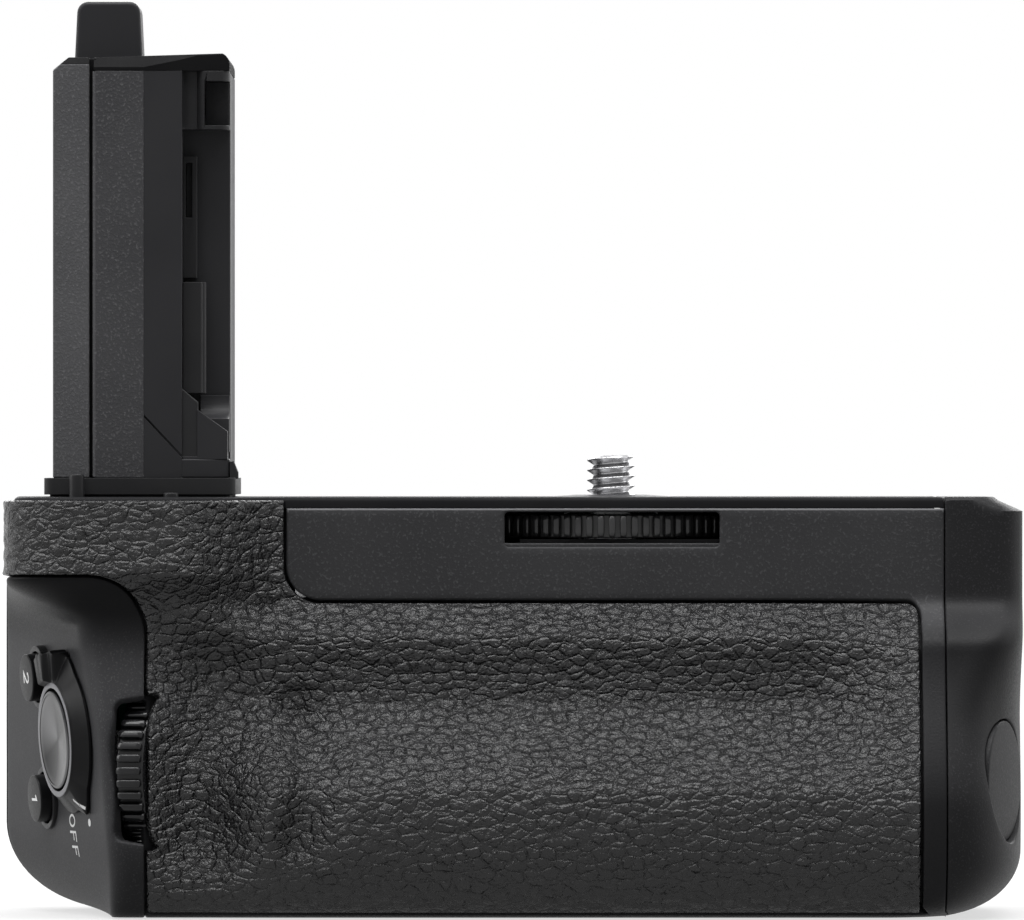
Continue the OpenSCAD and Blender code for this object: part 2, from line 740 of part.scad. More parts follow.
// Camera screw and its wheel
module camera_screw() {
    crest = 0.3;
    turns = 4;
    root_r = thread_r - 0.72;
    first = body_h + screw_h - turns * thread_pitch;
    flank = (thread_pitch - crest) / 2;
    color(steel) at_screw() rotate_extrude() polygon(concat(
        [[0, wheel_z], [hub_r, wheel_z], [hub_r, collar_z], [hub_r + 3, collar_z],
            [hub_r + 3, collar_z + collar_t], [neck_r, collar_z + collar_t], [neck_r, body_h + 0.2]],
        [for (i = [0:turns - 1]) for (s = [[root_r, 0], [thread_r, flank], [thread_r, flank + crest]])
            [s[0], first + i * thread_pitch + s[1]]],
        [[root_r, body_h + screw_h], [0, body_h + screw_h]]));
}
module tightening_wheel() {
    color(soft_black) at_screw() difference() {
        translate([0, 0, wheel_z]) linear_extrude(wheel_t) toothed(wheel_r, wheel_teeth, 0.8);
        translate([0, 0, wheel_z - 1]) cylinder(r = hub_r + run, h = wheel_t + 2);
    }
}
module screw_seat() {
    color(satin_black) at_screw() difference() {
        translate([0, 0, top_z]) cylinder(r = seat_r, h = top_t + seat_rise);
        translate([0, 0, top_z - 1]) cylinder(r = neck_r + run, h = top_t + 3);
    }
}
module thrust_washer() {
    color(steel) at_screw() translate([0, 0, washer_z]) difference() {
        cylinder(r = 8, h = washer_t);
        translate([0, 0, -1]) cylinder(r = 4, h = washer_t + 2);
    }
}

// Battery door
module battery_door() {
    color(satin_black) moulded() difference() {
        intersection() {
            loft();
            box([door_x + joint_gap, -far, 0], [far, far, body_h]);
        }
        intersection() {
            loft(door_wall);
            box([0, -far, door_wall], [far, far, body_h - door_wall]);
        }
        hinge_relief();
        knuckle_room();
        at_hinge() translate([0, 0, door_wall])
            cylinder(r = knuckle_r + seat, h = body_h - 2 * door_wall);
        on_lock() translate([0, 0, -lock_skirt - 1]) cylinder(r = lock_r + gap, h = far);
    }
}
module door_plate() {
    tab_low = lock_z - 10.7;
    tab_high = lock_z + 7;
    tab_front = grip_at(tab_high) + door_wall + 0.6;
    color(soft_black) difference() {
        union() {
            box([door_plate_x, chamber_front, door_wall + seat],
                [door_plate_x + door_plate_t, hinge_y, body_h - door_wall - seat]);
            box([door_plate_x, tab_front, tab_low], [door_plate_x + door_plate_t, bay_y0, tab_high]);
            at_hinge() translate([0, 0, door_wall + seat])
                cylinder(r = knuckle_r, h = body_h - 2 * door_wall - 2 * seat);
        }
        knuckle_room();
        at_hinge() translate([0, 0, -1]) cylinder(r = hinge_pin_r + run, h = body_h + 2);
        on_lock() translate([0, 0, -far / 2]) cylinder(r = lock_shaft_r + run, h = far);
    }
}
module door_hinge_pin() {
    color(steel) at_hinge() translate([0, 0, knuckles[0]])
        cylinder(r = hinge_pin_r, h = knuckles[1] + knuckle_h - knuckles[0]);
}
module door_pads() {
    color(grain_black) for (z = bays) box([door_plate_x - 0.7, 0, z - 6], [door_plate_x, 14, z + 6]);
}
module lock_dial() {
    dome = 0.95;
    dome_r = (lock_r * lock_r + dome * dome) / (2 * dome);
    color(satin_black) on_lock() {
        intersection() {
            translate([0, 0, -lock_skirt]) cylinder(r = lock_r, h = 5);
            translate([0, 0, dome + lock_rise - dome_r]) sphere(r = dome_r);
        }
        translate([0, 0, tongue_h + tongue_t]) cylinder(r = lock_shaft_r, h = -2 - tongue_h - tongue_t);
    }
}
module lock_tongue() {
    color(steel) on_lock() translate([0, 0, tongue_h]) {
        cylinder(r = tongue_hub_r, h = tongue_t);
        translate([0, -tongue_w / 2, 0]) cube([tongue_l, tongue_w, tongue_t]);
    }
}
strike_x = lock_x + (tongue_h + tongue_t) * cos(lock_turn) - 3.4 * sin(lock_turn) + strike_gap;
strike_y = lock_y - (tongue_h + tongue_t) * sin(lock_turn) - 3.4 * cos(lock_turn);
strike_half = 2.6;
strike_t = 0.8;
strike_foot = 7;
// The foot lies against the inside of the front wall
strike_front = grip_at(lock_z + strike_half) + skin_t + wall + gap;
module door_strike() {
    color(steel) {
        box([strike_x, strike_front, lock_z - strike_half],
            [strike_x + strike_t, strike_y, lock_z + strike_half]);
        box([strike_x - strike_foot, strike_front, lock_z - strike_half],
            [strike_x + strike_t, strike_front + strike_t, lock_z + strike_half]);
    }
}
module battery_latch(z) {
    color(amber) translate([latch_x, 0, z - latch_w / 2]) linear_extrude(latch_w)
        polygon([[0, bay_y0 - 2.2], [latch_len, bay_y0 - 2.2], [latch_len, bay_y0],
            [0.8, bay_y0 + latch_out], [0, bay_y0 + latch_out]]);
}
module battery_latch_lower() { battery_latch(latch_places[0]); }
module battery_latch_upper() { battery_latch(latch_places[1]); }

// Battery-shaped stalk
module stalk_side_cover() {
    bevel = 1;
    color(stalk_grey) on_stalk() difference() {
        elevation(0, stalk_d) polygon([[0, 0], [side_w, 0], [side_w, stalk_h], [bevel, stalk_h],
            [0, stalk_h - bevel]]);
        box([stalk_wall, stalk_wall, stalk_wall],
            [side_w + 1, stalk_d - stalk_wall, stalk_h - stalk_wall - bevel]);
    }
}
module stalk_core() {
    groove_depth = 0.6;
    difference() {
        union() {
            linear_extrude(cap_z) polygon([[core_x, 0], [turned_x, 0], [recess_x, turned_in],
                [stalk_w, turned_in], [stalk_w, stalk_d], [core_x, stalk_d]]);
            box([side_w + seat, groove_depth, 0], [core_x + 0.5, stalk_d - groove_depth, cap_z]);
        }
        box([recess_x, -1, recess_z], [stalk_w + 1, recess_d, recess_top]);
        box([stalk_w - 3.1, -1, recess_top + 0.6], [stalk_w + 1, 5, cap_z - 1.2]);
        box([core_x + stalk_wall, stalk_wall + 0.2, stalk_wall],
            [recess_x - stalk_wall, stalk_d - stalk_wall, cap_z + 1]);
        box([recess_x - stalk_wall - 1, recess_d + stalk_wall, stalk_wall],
            [stalk_w - stalk_wall, stalk_d - stalk_wall, cap_z + 1]);
        translate([port_low[0] - stalk_x, port_low[1] + stalk_front, -1])
            cube([port_high[0] - port_low[0], port_high[1] - port_low[1], 3]);
        translate([turned_x - 0.1, -0.12, recess_z + 5]) rotate([0, 46, 0]) cube([6.9, 0.5, 0.22]);
    }
}
module stalk_front_shell() {
    color(stalk_grey) on_stalk() intersection() {
        stalk_core();
        box([-1, -2, -1], [far, stalk_split - seat / 2, far]);
    }
}
module stalk_rear_shell() {
    color(stalk_grey) on_stalk() intersection() {
        stalk_core();
        box([-1, stalk_split + seat / 2, -1], [far, far, far]);
    }
}
terminal_x = 13.5;
terminal_y = stalk_d - 14;
terminal_step = 2.6;
terminal_w = 1.1;
terminal_l = 6;
terminal_depth = 1.6;
module stalk_cap() {
    corner = 1.5;
    front_bevel = 1.9;
    color(stalk_grey) on_stalk() difference() {
        intersection() {
            profile(core_x, stalk_w) polygon([[0, cap_z + seat], [0, cap_z + 0.5], [front_bevel, stalk_h],
                [stalk_d - 0.6, stalk_h], [stalk_d, stalk_h - 0.6], [stalk_d, cap_z + seat]]);
            elevation(-1, far) polygon(concat([[0, 0], [stalk_w, 0]],
                arc([stalk_w - corner, stalk_h - corner], corner, 0, 90, 6), [[0, stalk_h]]));
        }
        for (i = [0:2]) translate([terminal_x + i * terminal_step, terminal_y, stalk_h - terminal_depth])
            cube([terminal_w, terminal_l, 2]);
    }
}
flange_r = 1.2;
module stalk_flange() {
    lip = 1.1;
    hook = [[seat, 0], [lip, 0], [lip, 0.8], [0.55, 2.2], [seat, 2.2]];
    color(satin_black) difference() {
        union() {
            translate([0, 0, flange_z]) linear_extrude(flange_t)
                polygon(rounded([stalk_x - lip, -stalk_front - lip],
                    [stalk_x + stalk_w + lip - 0.3, stalk_d - stalk_front + lip], flange_r));
            translate([stalk_x + stalk_w, 0, stalk_z - 0.1])
                elevation(-stalk_front + 0.6, -stalk_front + 4.6) polygon(hook);
        }
        port(flange_z - 1, stalk_z + 1);
        on_stalk() box([recess_x + 0.2, -1, -0.5], [stalk_w - 0.6, 6, 0.4]);
    }
}
module flange_seal() {
    color(grain_black) difference() {
        translate([0, 0, body_h]) linear_extrude(seal_t)
            polygon(rounded([stalk_x - 0.4, -stalk_front - 0.4],
                [stalk_x + stalk_w + 0.1, stalk_d - stalk_front + 0.4], flange_r));
        port(body_h - 1, flange_z + 1);
    }
}
nose_x = 2.4;
nose_y = 19;
module contact_nose() {
    color(stalk_grey) on_stalk() elevation(nose_y, nose_y + nose_d) polygon(concat(
        [[nose_x - 0.2, stalk_h], [nose_x + nose_w + 0.2, stalk_h]],
        arc([nose_x + nose_w - 1.4, stalk_h + nose_h - 1.4], 1.4, 0, 90, 5),
        arc([nose_x + 1.4, stalk_h + nose_h - 1.4], 1.4, 90, 180, 5)));
}
module stalk_contacts() {
    color(gold) on_stalk() {
        for (i = [0:5]) translate([nose_x + 1 + i * 1.15, nose_y + nose_d, stalk_h + 1.5])
            cube([0.6, 0.15, nose_h - 3]);
        for (i = [0:2]) translate([terminal_x + 0.3 + i * terminal_step, terminal_y + 0.4,
            stalk_h - terminal_depth]) cube([terminal_w - 0.6, terminal_l - 0.8, terminal_depth - 0.3]);
    }
}
module stalk_board() {
    color(board_green) on_stalk() box([board_x, stalk_wall + 0.7, stalk_wall + 1],
        [board_x + board_t, stalk_d - stalk_wall - 0.5, cap_z - 2]);
}
ribbon_t = 0.3;
ribbon_z = top_z - 3;
module stalk_ribbon() {
    top_x = stalk_x + board_x + board_t;
    low_z = 36;
    drop_x = screw_x - wheel_r - 3;
    y0 = port_low[1] + 1;
    y1 = port_high[1] - 1;
    color(amber) {
        box([top_x, y0, ribbon_z], [top_x + ribbon_t, y1, stalk_z + 6]);
        box([top_x, y0, ribbon_z], [drop_x, y1, ribbon_z + ribbon_t]);
        box([drop_x - ribbon_t, y0, low_z], [drop_x, y1, ribbon_z + ribbon_t]);
        box([drop_x - ribbon_t, y0, low_z], [board_edge - main_board_t, y1, low_z + ribbon_t]);
    }
}
module cover_holder() {
    scoop_r = 3;
    holder_h = 8.2;
    color(stalk_grey) on_stalk() difference() {
        union() {
            elevation(turned_in + 0.2, recess_d - seat) polygon([[recess_x + seat, recess_z + seat],
                [stalk_w - 0.25, recess_z + seat], [stalk_w - 0.25, recess_z + 3.6],
                [recess_x + 2.1, recess_z + 6.2], [recess_x + seat, recess_z + holder_h]]);
            box([recess_x + 2.2, 4, recess_z + 1], [stalk_w - 0.1, recess_d - seat, recess_z + holder_h]);
        }
        translate([recess_x + 2.2, 4, recess_z + holder_h]) rotate([0, 90, 0])
            cylinder(r = scoop_r, h = 10);
    }
}
module cover_rail() {
    rail_z = 10.7;
    rail_top = 24.8;
    color(stalk_grey) on_stalk() {
        difference() {
            union() {
                box([recess_x + seat, 3, rail_z], [recess_x + 2.4, recess_d - seat, rail_top]);
                translate([recess_x + 2.3, 3.9, rail_z]) cylinder(r = 0.7, h = rail_top - rail_z);
            }
            translate([recess_x - 1, 2, rail_z]) rotate([0, 38, 0]) translate([0, 0, -3]) cube([6, 8, 3.1]);
        }
        difference() {
            box([recess_x + seat, 5, rail_top + 0.5], [recess_x + 1.8, recess_d - seat, recess_top - 3.3]);
            box([recess_x + 0.4, 4, 33], [recess_x + 1.15, recess_d - 1, 39.9]);
        }
    }
}

// Controls of the shutter end
boss_r = 4;
stem_r = 2.1;
boss_top = 0.45;
switch_h = 0.9;
housing_foot = 3;
button_foot = 2.9;
module shutter_button() {
    head_z = boss_top + 0.1 + shutter_travel;
    foot_z = board_face + switch_h + 0.1 + shutter_travel;
    dish = [[0, 0.5], [shutter_r * 0.4, 0.53], [shutter_r * 0.7, 0.6], [shutter_r - 0.25, 0.7],
        [shutter_r, 0.5]];
    color(steel) on_face() {
        translate([0, 0, head_z]) rotate_extrude() polygon(concat([[0, 0]], dish, [[shutter_r, 0]]));
        translate([0, 0, foot_z]) cylinder(r = stem_r, h = head_z + 0.1 - foot_z);
    }
}
module shutter_housing() {
    color(soft_black) on_face() difference() {
        union() {
            translate([0, 0, -housing_foot]) cylinder(r = collar_r, h = housing_foot - lever_foot - 0.1);
            translate([0, 0, -housing_foot]) cylinder(r = boss_r, h = housing_foot + boss_top);
            for (s = [-1, 1]) translate([0, s * 5.5, board_face + seat])
                cylinder(r = 1, h = -housing_foot - board_face);
        }
        translate([0, 0, -4]) cylinder(r = stem_r + run, h = 6);
    }
}
module power_lever() {
    rim = 0.9;
    tab_w = 5.2;
    tab_h = 2.7;
    tab_at = 96;
    color(soft_black) on_face() {
        difference() {
            union() {
                translate([0, 0, lever_foot])
                    cylinder(r1 = lever_r, r2 = shutter_r + gap + rim, h = lever_h - lever_foot);
                intersection() {
                    translate([0, 0, lever_foot]) cylinder(r = lever_r + lever_tab, h = tab_h);
                    rotate([0, 0, tab_at]) box([5, -tab_w / 2, 0], [lever_r + 3, tab_w / 2, tab_h + 1]);
                }
            }
            translate([0, 0, boss_top]) cylinder(r = shutter_r + gap, h = 4);
            translate([0, 0, -1]) cylinder(r = boss_r + run, h = 4);
        }
    }
}
button_rise = 1.1;
module custom_button(s) {
    color(soft_black) on_face() translate([-button_back, s * button_up, 0]) {
        translate([0, 0, -button_foot]) cylinder(r = button_r, h = button_foot + button_rise);
        translate([0, 0, -button_foot]) cylinder(r = button_r + 2 * gap, h = 0.7);
    }
}
module custom_button_1() { custom_button(-1); }
module custom_button_2() { custom_button(1); }
module control_board() {
    color(board_green) on_face() {
        box([-button_back - 4.5, -12, board_face - board_t], [4.5, 12, board_face]);
        translate([0, 0, board_face]) cylinder(r = 1.6, h = switch_h - seat);
        at_buttons() translate([-1.5, -1.5, board_face])
            cube([3, 3, -button_foot - button_travel - 0.1 - board_face]);
    }
}
module dial_wheel(r) {
    color(soft_black) rotate([0, 90, 0]) difference() {
        translate([0, 0, -dial_w / 2]) linear_extrude(dial_w) toothed(r, dial_teeth, 0.7);
        cylinder(r = axle_r + run, h = dial_w + 2, center = true);
    }
}
module dial_axle() {
    color(steel) rotate([0, 90, 0]) cylinder(r = axle_r, h = 2 * (cheek_in + cheek_t), center = true);
}
// Two cheeks that hold an axle, joined behind the wheel; front reaches towards the casing
module dial_bracket(r, left_front, right_front) {
    color(steel) difference() {
        union() {
            box([-cheek_in - cheek_t, left_front, -cheek_half], [-cheek_in, r + 1.6, cheek_half]);
            box([cheek_in, right_front, -cheek_half], [cheek_in + cheek_t, r + 1.6, cheek_half]);
            box([-cheek_in - cheek_t, r + 0.6, -cheek_half], [cheek_in + cheek_t, r + 1.6, cheek_half]);
        }
        rotate([0, 90, 0]) cylinder(r = axle_r + seat / 2, h = 4 * dial_w, center = true);
    }
}
module front_dial() { on_front_dial() dial_wheel(front_dial_r); }
module front_dial_axle() { on_front_dial() dial_axle(); }
module front_dial_bracket() {
    cheek_fronts = [-5.2, -1.8];
    on_front_dial() dial_bracket(front_dial_r, cheek_fronts[0], cheek_fronts[1]);
}
module rear_dial() { on_rear_dial() dial_wheel(rear_dial_r); }
module rear_dial_axle() { on_rear_dial() dial_axle(); }
module rear_dial_bracket() {
    reach = rear_in - rear_dial_y - 0.3;
    on_rear_dial() mirror([0, 1, 0]) dial_bracket(rear_dial_r, -reach, -reach);
}

// Rear controls
switch_top = rear_board_y + switch_h;
module rear_board() {
    color(board_green) {
        box([panel_left - rear_board_w, rear_board_y - board_t, rear_board_z0],
            [panel_left, rear_board_y, rear_board_z1]);
        rear_bar(focus_x, rear_button_z, rear_board_y, switch_top, 1.6);
        rear_bar(hold_x, rear_button_z, rear_board_y, switch_top, 1.6);
    }
}
module rear_button(x, r) {
    foot = switch_top + button_travel + 0.15;
    color(soft_black) {
        rear_bar(x, rear_button_z, foot, rear_y + 1.3, r);
        rear_bar(x, rear_button_z, foot, rear_in - gap, r + flange_lip);
    }
}
module focus_button() { rear_button(focus_x, focus_r); }
module hold_button() { rear_button(hold_x, hold_r); }
stick_pivot = rear_in - 0.6;
ball_r = 1.9;
ring_in = 2.2;
ring_out = 3.2;
ring_half = 0.7;
ear_t = 0.9;
ear_x = ring_out + 0.3;
ear_rise = 1;
trunnion_r = 0.4;
press_travel = 0.4;
module at_pivot() { translate([joystick_x, stick_pivot, joystick_z]) children(); }
module joystick() {
    crown = rear_y + stick_out;
    color(soft_black) {
        at_pivot() {
            sphere(r = ball_r);
            cylinder(r = trunnion_r, h = 2 * ring_in + 1.2, center = true);
        }
        rear_bar(joystick_x, joystick_z, stick_pivot, crown - 1.5, 1.3);
        translate([joystick_x, crown - 2.4, joystick_z]) rotate([-90, 0, 0]) rotate_extrude()
            polygon([[0, 0], [stick_r - 0.3, 0], [stick_r, 0.4], [stick_r, 1.4], [stick_r - 0.8, 2.2],
                [1.6, 2.4], [0, 2.2]]);
    }
}
module joystick_ring() {
    color(steel) difference() {
        union() {
            rear_bar(joystick_x, joystick_z, stick_pivot - ring_half, stick_pivot + ring_half, ring_out);
            at_pivot() rotate([0, 90, 0])
                cylinder(r = trunnion_r, h = 2 * (ear_x + ear_t - 0.2), center = true);
        }
        rear_bar(joystick_x, joystick_z, stick_pivot - 2, stick_pivot + 2, ring_in);
        at_pivot() cylinder(r = trunnion_r + run, h = 2 * ring_out + 2, center = true);
    }
}
module joystick_carrier() {
    low = rear_board_y + press_travel + 0.05;
    high = stick_pivot - 1.4;
    color(soft_black) difference() {
        union() {
            rear_bar(joystick_x, joystick_z, low, high, 4.6);
            for (x = [-ear_x - ear_t, ear_x]) box([joystick_x + x, low, joystick_z - 1],
                [joystick_x + x + ear_t, stick_pivot + ear_rise, joystick_z + 1]);
        }
        rear_bar(joystick_x, joystick_z, low - 1, high + 1, ball_r + 0.3);
        at_pivot() rotate([0, 90, 0])
            cylinder(r = trunnion_r + run, h = 2 * (ear_x + ear_t) + 2, center = true);
    }
}

front_shell();
rear_shell();
control_cap();
top_plate();
bottom_plate();
front_grip_skin();
rear_grip_skin();
battery_chamber();
contact_blocks();
battery_contacts();
main_board();
centre_frame();
tripod_bush();
bottom_screws();
top_screws();
locating_pins();
camera_screw();
tightening_wheel();
screw_seat();
thrust_washer();
battery_door();
door_plate();
door_hinge_pin();
door_pads();
lock_dial();
lock_tongue();
door_strike();
battery_latch_upper();
battery_latch_lower();
stalk_side_cover();
stalk_front_shell();
stalk_rear_shell();
stalk_cap();
stalk_flange();
flange_seal();
contact_nose();
stalk_contacts();
stalk_board();
stalk_ribbon();
cover_holder();
cover_rail();
shutter_button();
shutter_housing();
power_lever();
custom_button_1();
custom_button_2();
control_board();
front_dial();
front_dial_axle();
front_dial_bracket();
rear_dial();
rear_dial_axle();
rear_dial_bracket();
rear_board();
joystick();
joystick_ring();
joystick_carrier();
focus_button();
hold_button();
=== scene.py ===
import math
import bmesh
import bpy
import numpy as np
from mathutils import Matrix, Vector
from mathutils.geometry import delaunay_2d_cdt
from mathutils.kdtree import KDTree


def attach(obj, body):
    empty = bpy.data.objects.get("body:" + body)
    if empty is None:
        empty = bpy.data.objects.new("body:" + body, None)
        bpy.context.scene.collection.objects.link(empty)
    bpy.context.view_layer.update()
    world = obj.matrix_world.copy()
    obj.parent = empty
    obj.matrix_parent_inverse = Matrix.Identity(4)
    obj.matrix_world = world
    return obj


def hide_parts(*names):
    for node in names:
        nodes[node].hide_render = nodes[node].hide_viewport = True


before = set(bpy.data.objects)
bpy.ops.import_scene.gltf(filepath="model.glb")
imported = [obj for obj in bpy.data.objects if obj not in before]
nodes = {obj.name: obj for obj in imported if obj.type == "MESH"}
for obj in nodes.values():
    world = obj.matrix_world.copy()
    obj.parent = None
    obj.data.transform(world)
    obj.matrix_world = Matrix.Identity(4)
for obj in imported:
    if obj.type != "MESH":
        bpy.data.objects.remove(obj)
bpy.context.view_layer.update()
mm = 0.001
print("frame loaded with", len(nodes), "nodes")

# Sculpted body in millimetres, by the same rules as the solids
body = {"height": 53.0, "top": 51.6, "split": 14.0, "door": 54.6, "capEdge": -46.3, "panelLeft": -28.5,
        "bandBottom": 42.8, "skinRight": 51.25, "skinTop": 52.55, "skinFoot": 0.6, "skinGap": 0.35,
        "joint": 0.12}


def ease(t):
    c = np.clip(t, 0.0, 1.0)
    return c * c * (3 - 2 * c)


def mix(a, b, t):
    return a + (b - a) * t


def cornerShare(z, r):
    return np.where(z < r, 1 - np.sqrt(np.maximum(0, 1 - ((r - z) / r) ** 2)), 0.0)


def leftX(z):
    return 14.6 * cornerShare(z, 11.4) - 65.0 + 0.7 * ease((z - 41.4) / 2.6)


def rightX(z):
    return 65.1 - 8.8 * cornerShare(z, 8) - 4.4 * np.clip((z - 51.3) / 1.7, 0, 1)


def rearAt(z):
    return 27 - 3 * cornerShare(z, 3)


def gripAt(z):
    return (8 * cornerShare(z, 16) - 17.1 - 4 * ease((40 - z) / 4.8) + 0.6 * ease((35 - z) / 5)
            - 10.3 * ease((28.4 - z) / 13))


def doorAt(z):
    return 8 * cornerShare(z, 16) - 17.1 - 6 * ease((40.5 - z) / 6.5) - 7.7 * ease((36 - z) / 22)


def controlAt(z):
    return 5 * cornerShare(z, 11) - 24.4 - 2.6 * ease((z - 39.3) / 4.5) - 3 * ease((36 - z) / 14)


def frontAt(x, z):
    t = np.clip(np.abs(x + 38.5) / 8.5, 0, 1)
    dip = 3.5 * (1 - t * t) ** 2 * ease((40 - z) / 10) * ease((z - 2) / 9)
    away = np.hypot(x + 33.5, (z - 18) * 0.85)
    valley = 1.9 * np.exp(-((away - 8.4) / 3.3) ** 2) * ease((x + 31.5) / 5)
    valley = valley * ease((z - 3) / 7) * ease((32 - z) / 8)
    grip = mix(gripAt(z), doorAt(z), ease((x - 36) / 16))
    return mix(controlAt(z), grip, ease((x + 43) / 15)) + dip + valley


def bezier(p, q, r, n):
    t = np.linspace(0, 1, n + 1)[:, None]
    return np.array(p) * (1 - t) ** 2 + 2 * np.array(q) * t * (1 - t) + np.array(r) * t * t


def ringAt(z, stops):
    xl, xr, yr, yc, yg = (float(f(z)) for f in (leftX, rightX, rearAt, controlAt, gripAt))
    opening = 1 - float(cornerShare(z, 11))
    w = float(ease((z - 43.3 + 7) / 7))
    ridge = xl + opening * ((14 - yc) * math.tan(math.radians(18)) - (z - 22.4) * 0.09)
    c = np.array([mix(ridge, xl, w), yc])
    r = mix(mix(2.4, 4.6, float(ease((z - 20) / 16))), 8, w)
    side = np.array([xl, 14.0])
    d = float(ease((40 - z) / 16))
    rx, ry = mix(4.6, 10.5, d), mix(4.6, 26, d)
    x0 = c[0] + r
    xs = np.linspace(-28, x0, 70)
    left = np.vstack([np.column_stack([xs, frontAt(xs, z)]),
                      bezier([x0, float(frontAt(x0, z))], c,
                             c + (side - c) / np.linalg.norm(side - c) * r, 20),
                      [side], bezier([xl, yr - 6], [xl, yr], [xl + 6, yr], 16), [[64, yr]]])
    xs = np.linspace(-28, xr - rx, 110)[:-1]
    yg = float(frontAt(xr - rx, z))
    right = np.vstack([np.column_stack([xs, frontAt(xs, z)]),
                       bezier([xr - rx, yg], [xr, yg], [xr, yg + ry], 40),
                       bezier([xr, yr - 6], [xr, yr], [xr - 6, yr], 16), [[-20, yr]]])
    out = []
    for line in (left, right):
        s = np.concatenate([[0], np.cumsum(np.linalg.norm(np.diff(line, axis=0), axis=1))])
        out.append([np.interp(np.abs(stops), s, line[:, k]) for k in (0, 1)])
    return np.where(stops < 0, out[0][0], out[1][0]), np.where(stops < 0, out[0][1], out[1][1])


aStep = 0.25
aStops = np.arange(-215, 175.01, aStep)
zRows = np.concatenate([11 * (1 - np.cos(np.linspace(0, math.pi / 2, 60))), np.linspace(11, 53, 169)[1:]])
rings = [ringAt(z, aStops) for z in zRows]
place = np.stack([np.array([r[0] for r in rings]), np.array([r[1] for r in rings]),
                  np.repeat(zRows[:, None], len(aStops), 1)], axis=2)
facing = np.cross(np.gradient(place, axis=1), np.gradient(place, zRows, axis=0))
facing /= np.maximum(np.linalg.norm(facing, axis=2, keepdims=True), 1e-9)
along = np.gradient(place[0, :, :2], axis=0)
inward = np.column_stack([-along[:, 1], along[:, 0], np.zeros(len(aStops))])
inward /= np.maximum(np.linalg.norm(inward, axis=1, keepdims=True), 1e-9)
vRows = np.concatenate([[0], np.cumsum(np.hypot(np.diff(gripAt(zRows)), np.diff(zRows)))])


def vOf(z):
    return np.interp(z, zRows, vRows)


def bodySurface(a, v):
    zi = np.clip(np.interp(v, vRows, np.arange(len(zRows))), 0, len(zRows) - 1.001)
    ai = np.clip((np.asarray(a, float) - aStops[0]) / aStep, 0, len(aStops) - 1.001)
    i, j = zi.astype(int), ai.astype(int)
    fz, fa = (zi - i)[..., None], (ai - j)[..., None]

    def pick(t):
        return (t[i, j] * (1 - fz) * (1 - fa) + t[i, j + 1] * (1 - fz) * fa
                + t[i + 1, j] * fz * (1 - fa) + t[i + 1, j + 1] * fz * fa)
    n = pick(facing)
    n /= np.linalg.norm(n, axis=-1, keepdims=True)
    # below its foot the wall turns in under the body
    under = np.maximum(-np.asarray(v, float), 0)[..., None]
    step = inward[j] * (1 - fa) + inward[j + 1] * fa
    return pick(place) + step * under, np.where(under > 0, np.array([0, 0, -1.0]), n)


def rowAt(z):
    zi = min(np.interp(z, zRows, np.arange(len(zRows))), len(zRows) - 1.001)
    i = int(zi)
    return place[i] * (1 - zi + i) + place[i + 1] * (zi - i)


def frontPoint(x, z):
    row = rowAt(z)
    span = (aStops > -60) & (aStops < 98)
    return [float(np.interp(x, row[span, 0], aStops[span])), float(vOf(z))]


def leftPoint(y, z):
    row = rowAt(z)
    span = (aStops > -88) & (aStops < -20)
    return [float(np.interp(-y, -row[span, 1], aStops[span])), float(vOf(z))]


def rearPoint(x, z):
    row = rowAt(z)
    span = aStops < -72
    return [float(np.interp(-x, -row[span, 0], aStops[span])), float(vOf(z))]


def onSurface(goal, start, axes, origin):
    goal = np.array(goal, float)
    p = np.tile(np.array(start, float), (len(goal), 1))
    for _ in range(25):
        here = (bodySurface(p[:, 0], p[:, 1])[0] - origin) @ axes.T
        da = ((bodySurface(p[:, 0] + 0.05, p[:, 1])[0] - origin) @ axes.T - here) / 0.05
        dv = ((bodySurface(p[:, 0], p[:, 1] + 0.05)[0] - origin) @ axes.T - here) / 0.05
        miss = goal - here
        det = da[:, 0] * dv[:, 1] - da[:, 1] * dv[:, 0]
        step = np.column_stack([miss[:, 0] * dv[:, 1] - miss[:, 1] * dv[:, 0],
                                da[:, 0] * miss[:, 1] - da[:, 1] * miss[:, 0]]) / det[:, None]
        p += np.clip(step, -2, 2)
    return p


print("body surface tabled", place.shape)


# Mesh makers
def addObject(name, data):
    obj = bpy.data.objects.new(name, data)
    bpy.context.scene.collection.objects.link(obj)
    return obj


def finishMesh(name, verts, faces, sharp=38):
    mesh = bpy.data.meshes.new(name)
    mesh.from_pydata([tuple(c) for c in np.asarray(verts) * mm], [], faces)
    mesh.validate()
    mesh.shade_smooth()
    mesh.set_sharp_from_angle(angle=math.radians(sharp))
    return addObject(name, mesh)


def subdivide(loop, step):
    out = []
    for p, q in zip(loop, np.roll(loop, -1, axis=0)):
        n = max(1, int(math.ceil(np.linalg.norm(q - p) / step)))
        out += [p + (q - p) * k / n for k in range(n)]
    return np.array(out)


def insetLoop(p, d):
    e = np.roll(p, -1, axis=0) - p
    e /= np.maximum(np.linalg.norm(e, axis=1, keepdims=True), 1e-9)
    q = np.column_stack([-e[:, 1], e[:, 0]])
    back = np.roll(q, 1, axis=0)
    m = (q + back) / np.maximum(1 + np.sum(q * back, axis=1, keepdims=True), 0.35)
    return p + d * m


def area(p):
    return 0.5 * np.sum(p[:, 0] * np.roll(p[:, 1], -1) - p[:, 1] * np.roll(p[:, 0], -1))


def crossings(p, v):
    q = np.roll(p, -1, axis=0)
    hit = (p[:, 1] <= v) != (q[:, 1] <= v)
    cuts = np.sort(p[hit, 0] + (v - p[hit, 1]) / (q[hit, 1] - p[hit, 1]) * (q[hit, 0] - p[hit, 0]))
    return list(zip(cuts[::2], cuts[1::2]))


